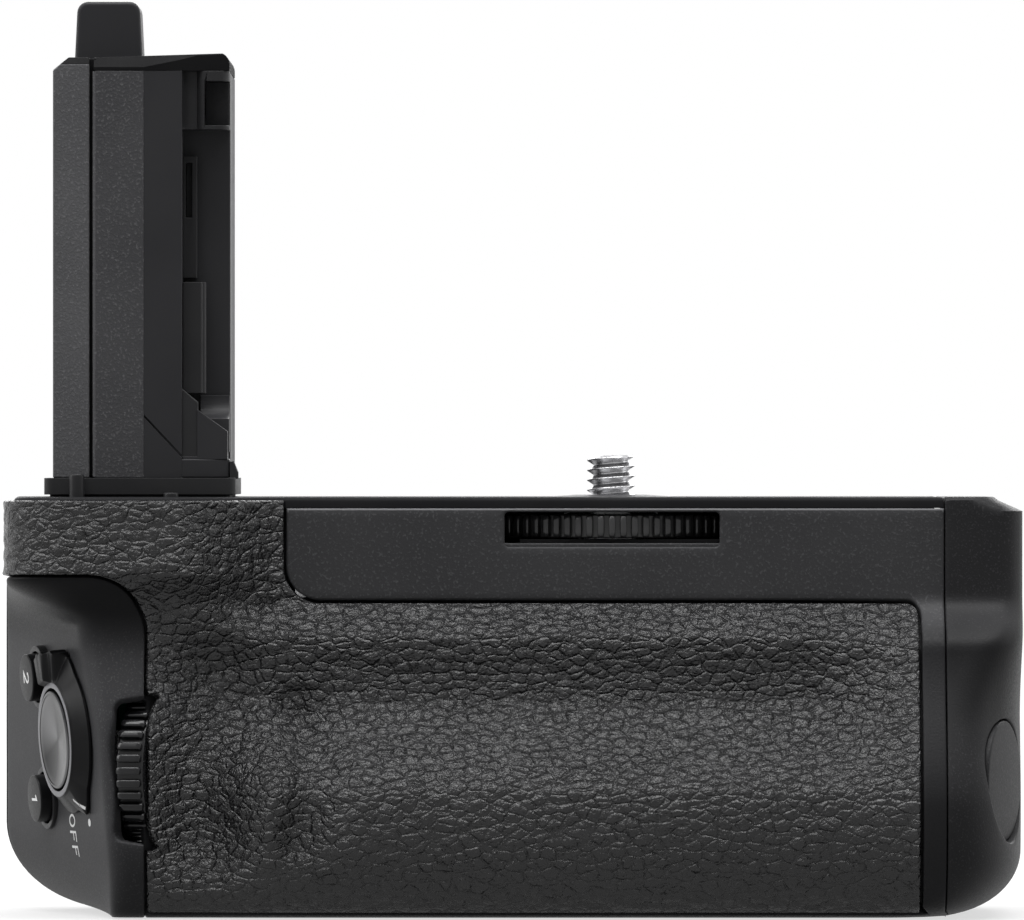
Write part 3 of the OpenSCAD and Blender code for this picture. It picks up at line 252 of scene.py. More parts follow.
def scatter(loops, step):
    out = []
    rowStep = step * math.sqrt(3) / 2
    for k, v in enumerate(np.arange(loops[0][:, 1].min(), loops[0][:, 1].max(), rowStep)):
        shift = k % 2 * step / 2
        barred = [span for p in loops[1:] for span in crossings(p, v)]
        for lo, hi in crossings(loops[0], v):
            row = np.arange(math.ceil((lo - shift) / step) * step + shift, hi, step)
            for start, end in barred:
                row = row[(row < start) | (row > end)]
            out += [(a, v) for a in row]
    return np.array(out).reshape(-1, 2)


def within(points, loop):
    odd = np.zeros(len(points), bool)
    for p, q in zip(loop, np.roll(loop, -1, axis=0)):
        span = (points[:, 1] >= p[1]) != (points[:, 1] >= q[1])
        if span.any():
            at = p[0] + (points[span, 1] - p[1]) / (q[1] - p[1]) * (q[0] - p[0])
            odd[span] ^= points[span, 0] < at
    return odd


def fill(loops, inner):
    points = np.vstack(list(loops) + ([inner] if len(inner) else []))
    edges, at = [], 0
    for p in loops:
        edges += [(at + k, at + (k + 1) % len(p)) for k in range(len(p))]
        at += len(p)
    _, _, faces, origin, _, _ = delaunay_2d_cdt([Vector(p) for p in points], edges, [], 1, 1e-7)
    back = [o[0] if o else -1 for o in origin]
    faces = np.array([[back[i] for i in f] for f in faces if all(back[i] >= 0 for i in f)])
    middle = points[faces].mean(axis=1)
    keep = within(middle, loops[0])
    for hole in loops[1:]:
        keep &= ~within(middle, hole)
    return faces[keep].tolist()


def patch(name, surface, loops, spec):
    loops = [np.array(p, float) for p in loops]
    for k, p in enumerate(loops):
        if (area(p) > 0) != (k == 0):
            loops[k] = p[::-1]
    loops = [subdivide(p, spec["step"]) for p in loops]
    r, thick, turns = spec["round"], spec["thick"], spec.get("turns", 4)
    base = spec.get("depth", 0.0)
    levels = [(0.0, thick)] + [(r * (1 - math.cos(math.pi / 2 * k / turns)),
                                r * (1 - math.sin(math.pi / 2 * k / turns)))
                               for k in range(turns + 1)]
    size = sum(len(p) for p in loops)
    flat, depths, faces = [], [], []
    for inset, depth in levels:
        flat += [insetLoop(p, inset) for p in loops]
        depths += [np.full(size, depth)]
    for k in range(len(levels) - 1):
        at = 0
        for p in loops:
            n = len(p)
            for i in range(n):
                lo, hi = k * size + at, (k + 1) * size + at
                faces.append((lo + i, lo + (i + 1) % n, hi + (i + 1) % n, hi + i))
            at += n
    rim = [insetLoop(p, r) for p in loops]
    inner = np.zeros((0, 2)) if spec.get("small") else scatter(
        [insetLoop(p, r + 0.55 * spec["step"]) for p in loops], spec["step"])
    top = (len(levels) - 1) * size
    at = len(levels) * size
    faces += [tuple(top + i if i < size else at + i - size for i in f) for f in fill(rim, inner)]
    flat.append(inner)
    depths.append(np.zeros(len(inner)))
    coarse = np.zeros((0, 2)) if spec.get("small") else scatter([insetLoop(p, 2.0) for p in loops], 3.0)
    under = at + len(inner)
    faces += [tuple(i if i < size else under + i - size for i in f)[::-1] for f in fill(loops, coarse)]
    flat.append(coarse)
    depths.append(np.full(len(coarse), thick))
    flat, depths = np.vstack(flat), np.concatenate(depths)
    spot, normal = surface(flat[:, 0], flat[:, 1])
    low = base(flat[:, 0], flat[:, 1]) if callable(base) else base
    obj = finishMesh(name, spot - normal * (depths + low)[:, None], faces, spec.get("sharp", 38))
    if spec.get("fade"):
        tree = KDTree(sum(len(p) for p in rim))
        for i, p in enumerate(np.vstack(rim)):
            tree.insert((p[0], p[1], 0), i)
        tree.balance()
        near = np.zeros(len(flat))
        near[at:under] = [min(1.0, tree.find((p[0], p[1], 0))[2] / spec["fade"]) for p in inner]
        data = obj.data.attributes.new("inside", "FLOAT", "POINT")
        data.data.foreach_set("value", near)
    return obj


def arcPoints(cx, cy, r, start, end, n=10):
    t = np.radians(np.linspace(start, end, n + 1))
    return [[cx + r * math.cos(a), cy + r * math.sin(a)] for a in t]


def around(n):
    return np.linspace(0, 2 * math.pi, n, endpoint=False)


def ringOf(x, y, r, n=48):
    return [[x + r * math.cos(t), y + r * math.sin(t)] for t in around(n)]


def roundedBox(xs, ys, r, n):
    corners = ((xs[1], ys[1], 0), (xs[0], ys[1], 90), (xs[0], ys[0], 180), (xs[1], ys[0], 270))
    return [p for x, y, start in corners for p in arcPoints(x, y, r, start, start + 90, n)]


def steps(lo, hi, step=1.0):
    return np.linspace(lo, hi, max(2, int(abs(hi - lo) / step) + 1))


# Materials
sheenShare = 0.3  # the white surround shows in every gloss, so the finishes keep little of it


def link(tree, start, end):
    tree.links.new(start, end)


def node(tree, kind, **values):
    n = tree.nodes.new(kind)
    for key, value in values.items():
        if hasattr(n, key):
            setattr(n, key, value)
        else:
            n.inputs[key].default_value = value
    return n


def noiseNode(tree, coords, size, detail=2.0, rough=0.5):
    n = node(tree, "ShaderNodeTexNoise")
    n.inputs["Scale"].default_value = 1.0 / (size * mm)
    n.inputs["Detail"].default_value = detail
    n.inputs["Roughness"].default_value = rough
    link(tree, coords, n.inputs["Vector"])
    return n


def spread(tree, value, low, high, lowTo, highTo):
    n = tree.nodes.new("ShaderNodeMapRange")
    for key, amount in (("From Min", low), ("From Max", high), ("To Min", lowTo), ("To Max", highTo)):
        n.inputs[key].default_value = amount
    link(tree, value, n.inputs["Value"])
    return n.outputs["Result"]


def blendColour(tree, factor, first, second):
    n = tree.nodes.new("ShaderNodeMix")
    n.data_type = "RGBA"
    link(tree, factor, n.inputs["Factor"])
    for socket, value in (("A", first), ("B", second)):
        target = [s for s in n.inputs if s.name == socket and s.type == "RGBA"][0]
        if isinstance(value, tuple):
            target.default_value = (*value, 1)
        else:
            link(tree, value, target)
    return [s for s in n.outputs if s.type == "RGBA"][0]


def creased(tree, coords, fine, look):
    drift = noiseNode(tree, coords, 1.4, 2.0)
    bent = node(tree, "ShaderNodeVectorMath", operation="SCALE")
    bent.inputs["Scale"].default_value = 0.7 * mm
    link(tree, drift.outputs["Color"], bent.inputs[0])
    added = node(tree, "ShaderNodeVectorMath", operation="ADD")
    link(tree, coords, added.inputs[0])
    link(tree, bent.outputs[0], added.inputs[1])
    stretch = node(tree, "ShaderNodeVectorMath", operation="MULTIPLY")
    stretch.inputs[1].default_value = (0.8, 0.8, 1.2)
    link(tree, added.outputs[0], stretch.inputs[0])
    height = spread(tree, fine, 0.2, 0.8, 0.0, 0.25)
    for size, share in look["creases"]:
        cells = node(tree, "ShaderNodeTexVoronoi", feature="F1")
        cells.inputs["Scale"].default_value = 1 / (size * mm)
        link(tree, stretch.outputs[0], cells.inputs["Vector"])
        edges = node(tree, "ShaderNodeTexVoronoi", feature="DISTANCE_TO_EDGE")
        edges.inputs["Scale"].default_value = 1 / (size * mm)
        link(tree, stretch.outputs[0], edges.inputs["Vector"])
        crest = node(tree, "ShaderNodeMath", operation="ADD")
        link(tree, spread(tree, cells.outputs["Distance"], 0.0, 0.8, 0.6 * share, 0.0), crest.inputs[0])
        link(tree, spread(tree, edges.outputs["Distance"], 0.0, 0.14, 0.0, 0.4 * share), crest.inputs[1])
        total = node(tree, "ShaderNodeMath", operation="ADD")
        link(tree, height, total.inputs[0])
        link(tree, crest.outputs[0], total.inputs[1])
        height = total.outputs[0]
    return height


def makeMaterial(name, look):
    mat = bpy.data.materials.new(name)
    mat.use_nodes = True
    tree = mat.node_tree
    shader = tree.nodes["Principled BSDF"]
    coords = node(tree, "ShaderNodeTexCoord").outputs["Object"]
    cloud = noiseNode(tree, coords, look.get("cloud", 6.0), 3.0)
    grain = noiseNode(tree, coords, look.get("grain", 0.2), 2.0)
    colour = blendColour(tree, spread(tree, cloud.outputs["Fac"], 0.3, 0.7, 0, 1), look["dark"],
                         look["light"])
    if "speck" in look:
        colour = blendColour(tree, spread(tree, grain.outputs["Fac"], 0.56, 0.72, 0, 1), colour,
                             look["speck"])
    height = grain.outputs["Fac"]
    # painted shade: the colour darkens where the grain sinks into its creases
    if "creaseShade" in look:
        store = node(tree, "ShaderNodeAttribute", attribute_name="grain")
        colour = blendColour(tree, spread(tree, store.outputs["Fac"], 0.0, 0.6, 1, 0), colour,
                             look["creaseShade"])
        height = creased(tree, coords, grain.outputs["Fac"], look)
    # painted glint: a lighter wedge along "toward" from the centre stands in for a radial reflection on
    # spun metal
    if "sweep" in look:
        away = node(tree, "ShaderNodeVectorMath", operation="SUBTRACT")
        away.inputs[1].default_value = look["centre"]
        link(tree, coords, away.inputs[0])
        even = node(tree, "ShaderNodeVectorMath", operation="NORMALIZE")
        link(tree, away.outputs[0], even.inputs[0])
        side = node(tree, "ShaderNodeVectorMath", operation="DOT_PRODUCT")
        side.inputs[1].default_value = look["toward"]
        link(tree, even.outputs[0], side.inputs[0])
        size = node(tree, "ShaderNodeMath", operation="ABSOLUTE")
        link(tree, side.outputs["Value"], size.inputs[0])
        colour = blendColour(tree, spread(tree, size.outputs[0], 0.45, 1.0, 0, 1), colour, look["sweep"])
    # painted highlight: the "edge" attribute lightens the colour towards the "edge" colour on a lit edge
    if "edge" in look:
        paintedEdgeHighlight = node(tree, "ShaderNodeAttribute", attribute_name="edge")
        colour = blendColour(tree, paintedEdgeHighlight.outputs["Fac"], colour, look["edge"])
    # painted shade: the "deep" attribute darkens the colour towards the "deep" colour where shade should
    # fall
    if "deep" in look:
        deep = node(tree, "ShaderNodeAttribute", attribute_name="deep").outputs["Fac"]
        colour = blendColour(tree, deep, colour, look["deep"])
    link(tree, colour, shader.inputs["Base Color"])
    low, high = look["rough"]
    link(tree, spread(tree, grain.outputs["Fac"], 0.3, 0.7, low, high), shader.inputs["Roughness"])
    shader.inputs["Specular IOR Level"].default_value = sheenShare * look.get("gloss", 0.5)
    shader.inputs["Metallic"].default_value = look.get("metal", 0.0)
    bump = node(tree, "ShaderNodeBump")
    bump.inputs["Strength"].default_value = look.get("bump", 0.3)
    bump.inputs["Distance"].default_value = look.get("relief", 0.02) * mm
    link(tree, height, bump.inputs["Height"])
    link(tree, bump.outputs["Normal"], shader.inputs["Normal"])
    return mat


# Each "deep" colour below is painted shade, blended in by the piece's "deep" weights
looks = {
    # panelCoat's "edge" colour is a painted highlight for the panel's top edge
    "panelCoat": {"dark": (0.037, 0.037, 0.039), "light": (0.046, 0.046, 0.048),
                  "speck": (0.075, 0.075, 0.078), "grain": 0.34, "edge": (0.13, 0.13, 0.135),
                  "deep": (0.014, 0.014, 0.015), "rough": (0.42, 0.6), "bump": 0.6, "relief": 0.06,
                  "cloud": 14, "gloss": 0.32},
    "plateCoat": {"dark": (0.009, 0.009, 0.01), "light": (0.013, 0.013, 0.014), "grain": 0.25,
                  "rough": (0.5, 0.65), "bump": 0.2, "relief": 0.02, "cloud": 14, "gloss": 0.2},
    "lidBlack": {"dark": (0.006, 0.006, 0.0065), "light": (0.009, 0.009, 0.0095), "grain": 0.25,
                 "rough": (0.55, 0.7), "bump": 0.2, "relief": 0.02, "cloud": 8, "gloss": 0.15},
    "capCoat": {"dark": (0.03, 0.03, 0.032), "light": (0.039, 0.039, 0.041),
                "speck": (0.065, 0.065, 0.067), "grain": 0.24, "deep": (0.006, 0.006, 0.0065),
                "rough": (0.4, 0.56), "bump": 0.35, "relief": 0.03, "cloud": 9, "gloss": 0.25},
    "doorCoat": {"dark": (0.014, 0.014, 0.015), "light": (0.019, 0.019, 0.02),
                 "speck": (0.036, 0.036, 0.038), "grain": 0.26, "deep": (0.005, 0.005, 0.0055),
                 "rough": (0.42, 0.6), "bump": 0.5, "relief": 0.05, "cloud": 9, "gloss": 0.35},
    # gripHide's crease colour is painted shade in the grain's creases
    "gripHide": {"dark": (0.015, 0.015, 0.016), "light": (0.021, 0.021, 0.022),
                 "creaseShade": (0.005, 0.005, 0.0055), "gloss": 1.15, "deep": (0.006, 0.006, 0.0065),
                 "grain": 0.3, "rough": (0.2, 0.32), "bump": 1.0, "relief": 0.5, "cloud": 8,
                 "creases": [(1.5, 0.8), (0.75, 0.2)]},
    "stalkSpark": {"dark": (0.078, 0.078, 0.082), "light": (0.096, 0.096, 0.1),
                   "speck": (0.14, 0.14, 0.145), "grain": 0.3, "rough": (0.5, 0.68), "bump": 0.8,
                   "relief": 0.07, "cloud": 12},
    # a shaded copy of stalkSpark: the same textured plastic, darker as painted shade on the stalk's
    # front; stalkSpark is the lit copy
    "stalkSparkShaded": {"dark": (0.046, 0.046, 0.049), "light": (0.058, 0.058, 0.061),
                   "speck": (0.11, 0.11, 0.114), "grain": 0.3, "rough": (0.5, 0.68), "bump": 0.8,
                   "relief": 0.07, "cloud": 12},
    "stalkSmooth": {"dark": (0.02, 0.02, 0.022), "light": (0.026, 0.026, 0.028), "grain": 0.3,
                    "rough": (0.36, 0.5), "bump": 0.12, "relief": 0.02, "cloud": 12},
    "controlBlack": {"dark": (0.012, 0.012, 0.013), "light": (0.018, 0.018, 0.019), "grain": 0.25,
                     "rough": (0.3, 0.44), "bump": 0.15, "relief": 0.02, "cloud": 5},
    "wheelGloss": {"dark": (0.03, 0.03, 0.031), "light": (0.042, 0.042, 0.043), "grain": 0.2,
                   "rough": (0.16, 0.24), "bump": 0.1, "relief": 0.01, "cloud": 4, "gloss": 1.0},
    "dialGloss": {"dark": (0.009, 0.009, 0.01), "light": (0.013, 0.013, 0.014), "grain": 0.2,
                  "rough": (0.16, 0.24), "bump": 0.1, "relief": 0.01, "cloud": 4, "gloss": 0.8},
    "innerBlack": {"dark": (0.008, 0.008, 0.009), "light": (0.012, 0.012, 0.013), "grain": 0.3,
                   "rough": (0.55, 0.7), "bump": 0.2, "relief": 0.02},
    "sealRubber": {"dark": (0.01, 0.01, 0.011), "light": (0.015, 0.015, 0.016), "grain": 0.3,
                   "rough": (0.6, 0.75)},
    "screwSteel": {"dark": (0.42, 0.42, 0.43), "light": (0.55, 0.55, 0.56), "grain": 0.15,
                   "rough": (0.24, 0.34), "metal": 1.0, "bump": 0.1, "relief": 0.01, "cloud": 2},
    "steel": {"dark": (0.55, 0.55, 0.56), "light": (0.68, 0.68, 0.69), "grain": 0.15,
              "rough": (0.22, 0.34), "metal": 1.0, "bump": 0.1, "relief": 0.01, "cloud": 3},
    "darkSteel": {"dark": (0.1, 0.1, 0.105), "light": (0.15, 0.15, 0.155), "grain": 0.15,
                  "rough": (0.3, 0.42), "metal": 1.0, "bump": 0.1, "relief": 0.01, "cloud": 3},
    # spunSteel carries a painted glint wedge for the shutter button
    "spunSteel": {"dark": (0.012, 0.012, 0.013), "light": (0.018, 0.018, 0.019), "grain": 0.1,
                  "rough": (0.28, 0.36), "metal": 1.0, "bump": 0.15, "relief": 0.01, "cloud": 3,
                  "sweep": (0.13, 0.13, 0.133), "centre": (-0.05785, -0.01487, 0.02227),
                  "toward": (-0.25, 0.77, 0.58)},
    "leverBlack": {"dark": (0.005, 0.005, 0.0055), "light": (0.008, 0.008, 0.0085), "grain": 0.25,
                   "rough": (0.3, 0.42), "bump": 0.15, "relief": 0.02, "cloud": 5, "gloss": 0.3},
    "rimMetal": {"dark": (0.16, 0.16, 0.17), "light": (0.2, 0.2, 0.21), "grain": 0.15,
                 "rough": (0.34, 0.46), "metal": 0.6, "bump": 0.1, "relief": 0.01, "cloud": 3},
    "flangeCoat": {"dark": (0.014, 0.014, 0.015), "light": (0.019, 0.019, 0.02), "grain": 0.25,
                   "rough": (0.42, 0.56), "bump": 0.2, "relief": 0.02, "cloud": 10},
    "gold": {"dark": (0.72, 0.5, 0.16), "light": (0.86, 0.64, 0.26), "grain": 0.2,
             "rough": (0.22, 0.34), "metal": 1.0},
    "board": {"dark": (0.012, 0.07, 0.04), "light": (0.02, 0.11, 0.065), "grain": 0.4,
              "rough": (0.35, 0.5)},
    "amber": {"dark": (0.3, 0.13, 0.03), "light": (0.42, 0.2, 0.05), "grain": 0.5,
              "rough": (0.35, 0.5)},
    "mark": {"dark": (0.72, 0.72, 0.72), "light": (0.82, 0.82, 0.82), "grain": 0.2,
             "rough": (0.45, 0.6), "bump": 0.1},
}
mats = {name: makeMaterial(name, look) for name, look in looks.items()}


def dress(obj, materialName):
    obj.data.materials.clear()
    obj.data.materials.append(mats[materialName])


def seat(obj, materialName, bodyName, slotName, *replaced):
    if materialName:
        dress(obj, materialName)
    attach(obj, bodyName)
    if replaced:
        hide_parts(*replaced)
    return obj


shownNodes = {
    "panelCoat": "bottom_plate", "gold": "battery_contacts stalk_contacts",
    "sealRubber": "door_pads flange_seal",
    "innerBlack": "battery_chamber contact_blocks door_plate shutter_housing joystick_carrier",
    "board": "main_board stalk_board control_board rear_board",
    "amber": "battery_latch_upper battery_latch_lower stalk_ribbon",
    "steel": "centre_frame tripod_bush thrust_washer door_hinge_pin lock_tongue door_strike "
             "front_dial_axle front_dial_bracket rear_dial_axle rear_dial_bracket joystick_ring",
}
for look, names in shownNodes.items():
    for name in names.split():
        dress(nodes[name], look)
print("materials made", len(mats))


# Stores per-vertex weights that a material uses to paint shade ("deep") or a highlight ("edge") into its
# colour
def shade(obj, rule, name="deep"):
    spots = np.zeros(len(obj.data.vertices) * 3)
    obj.data.vertices.foreach_get("co", spots)
    x, y, z = (spots / mm).reshape(-1, 3).T
    share = np.clip(rule(x, y, z), 0, 1).astype(float)
    obj.data.attributes.new(name, "FLOAT", "POINT").data.foreach_set("value", share)


# Front grip skin
def pathF(xs, zs):
    return [frontPoint(x, z) for x, z in np.broadcast(xs, zs)]


def pathL(y, zs):
    return [leftPoint(y, z) for z in zs]


def level(start, end, step=1.0):
    return [[a, start[1]] for a in steps(start[0], end[0], step)]


dial = {"at": np.array([-45.2, -19.415, 18.6]), "turn": math.radians(17), "slotHalf": 2.65}
dialAxis = np.array([math.cos(dial["turn"]), -math.sin(dial["turn"]), 0])
dialAxes = np.array([dialAxis, [0, 0, 1]])
dialStart = frontPoint(-47, 18.6)


def dialLine(points):
    return [list(p) for p in onSurface(points, dialStart, dialAxes, dial["at"])]


rim = body["joint"] / 2
edgeY = body["split"] - body["joint"]
skin = {"step": 0.34, "round": 0.32, "thick": 1.2, "fade": 1.1}
skinLeft = body["capEdge"] + body["skinGap"]
notch = [[1.75 + 0.9 * (abs(h) / 9.6) ** 5, h] for h in np.linspace(9.0, -9.4, 30)]
notch = arcPoints(1.9, 9.0, 0.75, 120, 20, 5) + notch + arcPoints(2.0, -9.4, 0.75, -10, -120, 5)
loop = pathF(steps(skinLeft, body["skinRight"], 0.5), body["skinFoot"])
loop += pathF(body["skinRight"], steps(0.6, 38.15, 0.5)[1:])
loop += [frontPoint(*p) for p in arcPoints(body["skinRight"] - 1.5, 38.15, 1.5, 0, 90)[1:]]
loop += pathF(steps(body["skinRight"] - 1.5, -24.4, 1.0)[1:], 39.65)
loop += [frontPoint(*p) for p in arcPoints(-24.4, 44.1, 4.45, 270, 180)[1:]]
loop += pathF(-28.85, steps(44.1, body["skinTop"], 0.5)[1:])
loop += level(loop[-1], leftPoint(edgeY, body["skinTop"]))[1:]
loop += pathL(edgeY, steps(body["skinTop"], 43.15, 0.5)[1:])
loop += level(loop[-1], frontPoint(-53.6, 43.15))[1:]
loop += [frontPoint(*p) for p in arcPoints(-53.6, 35.5, 7.65, 90, 0, 14)[1:]]
loop += pathF(skinLeft, steps(35.5, 28.9, 0.5)[1:])
loop += dialLine(notch)
loop += pathF(skinLeft, steps(7.6, 0.6, 0.5)[:-1])
gripSkin = patch("grip_skin_grained", bodySurface, [loop], skin)
print("grip skin", len(gripSkin.data.polygons))
# painted shade: darker towards the bottom, on the lower left and along the top band
shade(gripSkin, lambda x, y, z: 0.9 * ease((15 - z) / 9) + 0.75 * ease((25 - z) / 8) * ease((-21 - x) / 8)
      + 0.4 * ease((z - 42) / 3))
seat(gripSkin, "gripHide", "grip", "grip_rubber", "front_grip_skin")


# Casing pieces that follow the sculpted body
shell = {"step": 0.9, "round": 0.28, "thick": 2.6, "turns": 3}
window = {"x": 12.6, "half": 13.6, "low": 46.7, "high": 51.1, "corner": 0.6}
panelTop = body["top"] - 0.06
doorEdge = body["door"] - rim
stripLeft = body["skinRight"] + body["skinGap"]
hem = -1.9
footTop = float(vOf(body["skinFoot"])) - body["skinGap"]
low = [frontPoint(x, 0.0)[0] for x in (body["capEdge"] + 0.01, doorEdge, stripLeft)]
loop = level([low[0], hem], [low[1], hem]) + [[low[1], hem / 2]]
loop += pathF(doorEdge, steps(0.0, panelTop, 0.6))
loop += pathF(steps(doorEdge, body["panelLeft"])[1:], panelTop)
loop += pathF(body["panelLeft"], steps(panelTop, 44.1, 0.6)[1:])
loop += [frontPoint(*p) for p in arcPoints(-24.4, 44.1, 4.1, 180, 270)[1:]]
loop += pathF(steps(-24.4, stripLeft - 1.85)[1:], 40.0)
loop += [frontPoint(*p) for p in arcPoints(stripLeft - 1.85, 38.15, 1.85, 90, 0)[1:]]
loop += pathF(stripLeft, steps(38.15, 0.7, 0.6)[1:-1])
loop += level([low[2], footTop], [low[0], footTop])
loop += [[low[0], footTop / 2], [low[0], 0.0]]
w = window
windowLine = roundedBox((w["x"] - w["half"] + w["corner"], w["x"] + w["half"] - w["corner"]),
                        (w["low"] + w["corner"], w["high"] - w["corner"]), w["corner"], 5)
windowLoop = [frontPoint(*p) for p in windowLine]
panel = patch("front_panel", bodySurface, [loop, windowLoop], shell)
# painted shade: darker on the end strip below the shelf
shade(panel, lambda x, y, z: ease((38 - z) / 3) * ease((x - 50) / 1.2))
# painted highlight: weights the panel's top edge for the lighter "edge" colour
shade(panel, lambda x, y, z: (z > panelTop - 0.22) & (y < -16), "edge")
seat(panel, "panelCoat", "grip", "casing", "front_shell")

skinBed = {"step": 1.2, "round": 0.1, "thick": 1.2, "turns": 1, "depth": lambda a,
           v: 0.65 + np.clip(v / 2.5, 0, 1)}
bedEdge = body["capEdge"] - 0.7
loop = pathF(steps(bedEdge, 52.2, 1.0), 0.02)
loop += pathF(52.2, steps(0.02, 40.3, 0.8)[1:])
loop += pathF(steps(52.2, -28.2, 1.0)[1:], 40.3)
loop += pathF(-28.2, steps(40.3, panelTop, 0.8)[1:])
loop += level(loop[-1], leftPoint(edgeY, panelTop))[1:]
loop += pathL(edgeY, steps(panelTop, 42.1, 0.8)[1:])
loop += level(loop[-1], frontPoint(-53.6, 42.1))[1:]
loop += [frontPoint(*p) for p in arcPoints(-53.6, 35.5, 6.6, 90, 0, 12)[1:]]
loop += pathF(bedEdge, steps(35.5, 28.4, 0.8)[1:])
loop += dialLine([[1.7, h] for h in np.linspace(9.2, -9.4, 20)])
loop += pathF(bedEdge, steps(8.2, 0.02, 0.8)[:-1])
bed = patch("front_skin_bed", bodySurface, [loop], skinBed)
seat(bed, "innerBlack", "grip", "casing")

# Control cap with its openings
turn, lean = math.radians(-72), math.radians(94)
aboutZ = np.array([[math.cos(turn), -math.sin(turn), 0], [math.sin(turn), math.cos(turn), 0], [0, 0, 1]])
aboutX = np.array([[1, 0, 0], [0, math.cos(lean), -math.sin(lean)], [0, math.sin(lean), math.cos(lean)]])
faceTurn = aboutZ @ aboutX
faceAt = np.array([-56.10477, -14.3, 22.4])
faceAxes = faceTurn.T[:2]
faceStart = leftPoint(-14.3, 22.4)
control = {"step": 0.6, "round": 0.35, "thick": 1.6, "turns": 4}
button = {"back": 11.2, "up": 7.7, "hole": 3.45, "top": 1.9}
slot = dial["slotHalf"]
capLow = [frontPoint(body["capEdge"], 0.0)[0], leftPoint(edgeY, 0.0)[0]]
loop = [[capLow[0], hem], [capLow[0], hem / 2]] + pathF(body["capEdge"], steps(0.0, 9.3, 0.6))
loop += dialLine(arcPoints(-slot + 1.3, -8.9 + 1.3, 1.3, 270, 180, 6)[0:]
                 + arcPoints(-slot + 1.3, 8.9 - 1.3, 1.3, 180, 90, 6))
loop += pathF(body["capEdge"], steps(27.9, 35.5, 0.6))
loop += [frontPoint(*p) for p in arcPoints(-53.6, 35.5, 7.3, 0, 90, 14)[1:]]
loop += level(loop[-1], leftPoint(edgeY, body["bandBottom"]))[1:]
loop += pathL(edgeY, steps(body["bandBottom"], 0.0, 0.6)[1:])
loop += [[capLow[1], hem / 2]] + level([capLow[1], hem], [capLow[0], hem])[:-1]


def capSurface(a, v):
    spot, normal = bodySurface(a, v)
    spot = spot.copy()
    limit = -65.0 * (1900 + spot[..., 1]) / 1914  # the cap stays inside the outline of the band over it
    spot[..., 0] = limit + 0.15 * np.logaddexp(0, (spot[..., 0] - limit) / 0.15)
    return spot, normal


def faceCircle(x, y, r, n):
    return onSurface(ringOf(x, y, r, n), faceStart, faceAxes, faceAt)


holes = [faceCircle(0, 0, 8.2, 72)] + [faceCircle(-button["back"], s * button["up"], button["hole"], 40)
                                       for s in (-1, 1)]
capPiece = patch("control_cap_shell", capSurface, [loop] + holes, control)
# painted shade: darker under the band at the top and towards the bottom
shade(capPiece, lambda x, y, z: ease((z - 32) / 7) + 0.35 * ease((14 - z) / 10))
seat(capPiece, "capCoat", "grip", "control_cap", "control_cap")
print("front casing", len(panel.data.polygons), len(capPiece.data.polygons))

# Battery door: the end surface, folded over its top and bottom to the parting plane
door = {"step": 0.8, "round": 0.25, "thick": 1.5, "turns": 3, "fillet": 0.5}
doorStart = body["door"] + rim
vFold = float(vOf(53.0 - door["fillet"]))
bend = door["fillet"] * math.pi / 2
spineReach = 9.0


def doorBody(a, v):
    spot, normal = bodySurface(a, v)
    z = spot[..., 2]
    end = 64.6 - 10 * cornerShare(z, 8.2) - 4.4 * np.clip((z - 51.3) / 1.7, 0, 1)
    share = np.maximum(end - doorStart, 0.9) / (rightX(z) - doorStart)
    spot = spot.copy()
    spot[..., 0] = np.where(spot[..., 0] > doorStart, doorStart + (spot[..., 0] - doorStart) * share,
                            spot[..., 0])
    return spot, normal


def doorSurface(a, v):
    a, v = np.asarray(a, float), np.asarray(v, float)
    inside = np.clip(v, 0, vFold)
    spot, normal = doorBody(a, inside)
    zTop = np.full_like(a, vFold)
    edge, edgeNormal = doorBody(a, zTop)
    flatNormal = edgeNormal * np.array([1, 1, 0])
    flatNormal /= np.linalg.norm(flatNormal, axis=-1, keepdims=True)
    f = door["fillet"]
    over = np.clip((v - vFold) / f, 0, math.pi / 2)[..., None]
    up = np.array([0, 0, 1.0])
    curved = edge - flatNormal * f * (1 - np.cos(over)) + up * f * np.sin(over)
    lo, hi = doorFront[0], doorRear[0]
    share = np.clip((a - lo) / (hi - lo), 0, 1)
    spine = np.stack([np.full_like(a, doorStart), mix(-17.1 + f, 27.0 - f, share),
                      np.full_like(a, 53.0)], axis=-1)
    reach = np.clip((v - vFold - bend) / spineReach, 0, 1)[..., None]
    topSpot = curved * (1 - reach) + spine * reach
    topNormal = flatNormal * np.cos(over) + up * np.sin(over)
    base, _ = doorBody(a, np.zeros_like(a))
    under = np.clip(-v / spineReach, 0, 1)[..., None]
    yLow, yHigh = float(gripAt(0.0)), float(rearAt(0.0))
    footSpine = np.stack([np.full_like(a, doorStart), mix(yLow, yHigh, share), np.zeros_like(a)], axis=-1)
    footSpot = base * (1 - under) + footSpine * under
    isTop, isFoot = (v > vFold)[..., None], (v < 0)[..., None]
    spot = np.where(isTop, topSpot, np.where(isFoot, footSpot, spot))
    normal = np.where(isTop, topNormal, np.where(isFoot, -up, normal))
    return spot, normal


def rightRear(x, z):
    row = rowAt(z)
    span = aStops > 100
    order = np.argsort(row[span, 0])
    return [float(np.interp(x, row[span, 0][order], aStops[span][order])), float(vOf(z))]


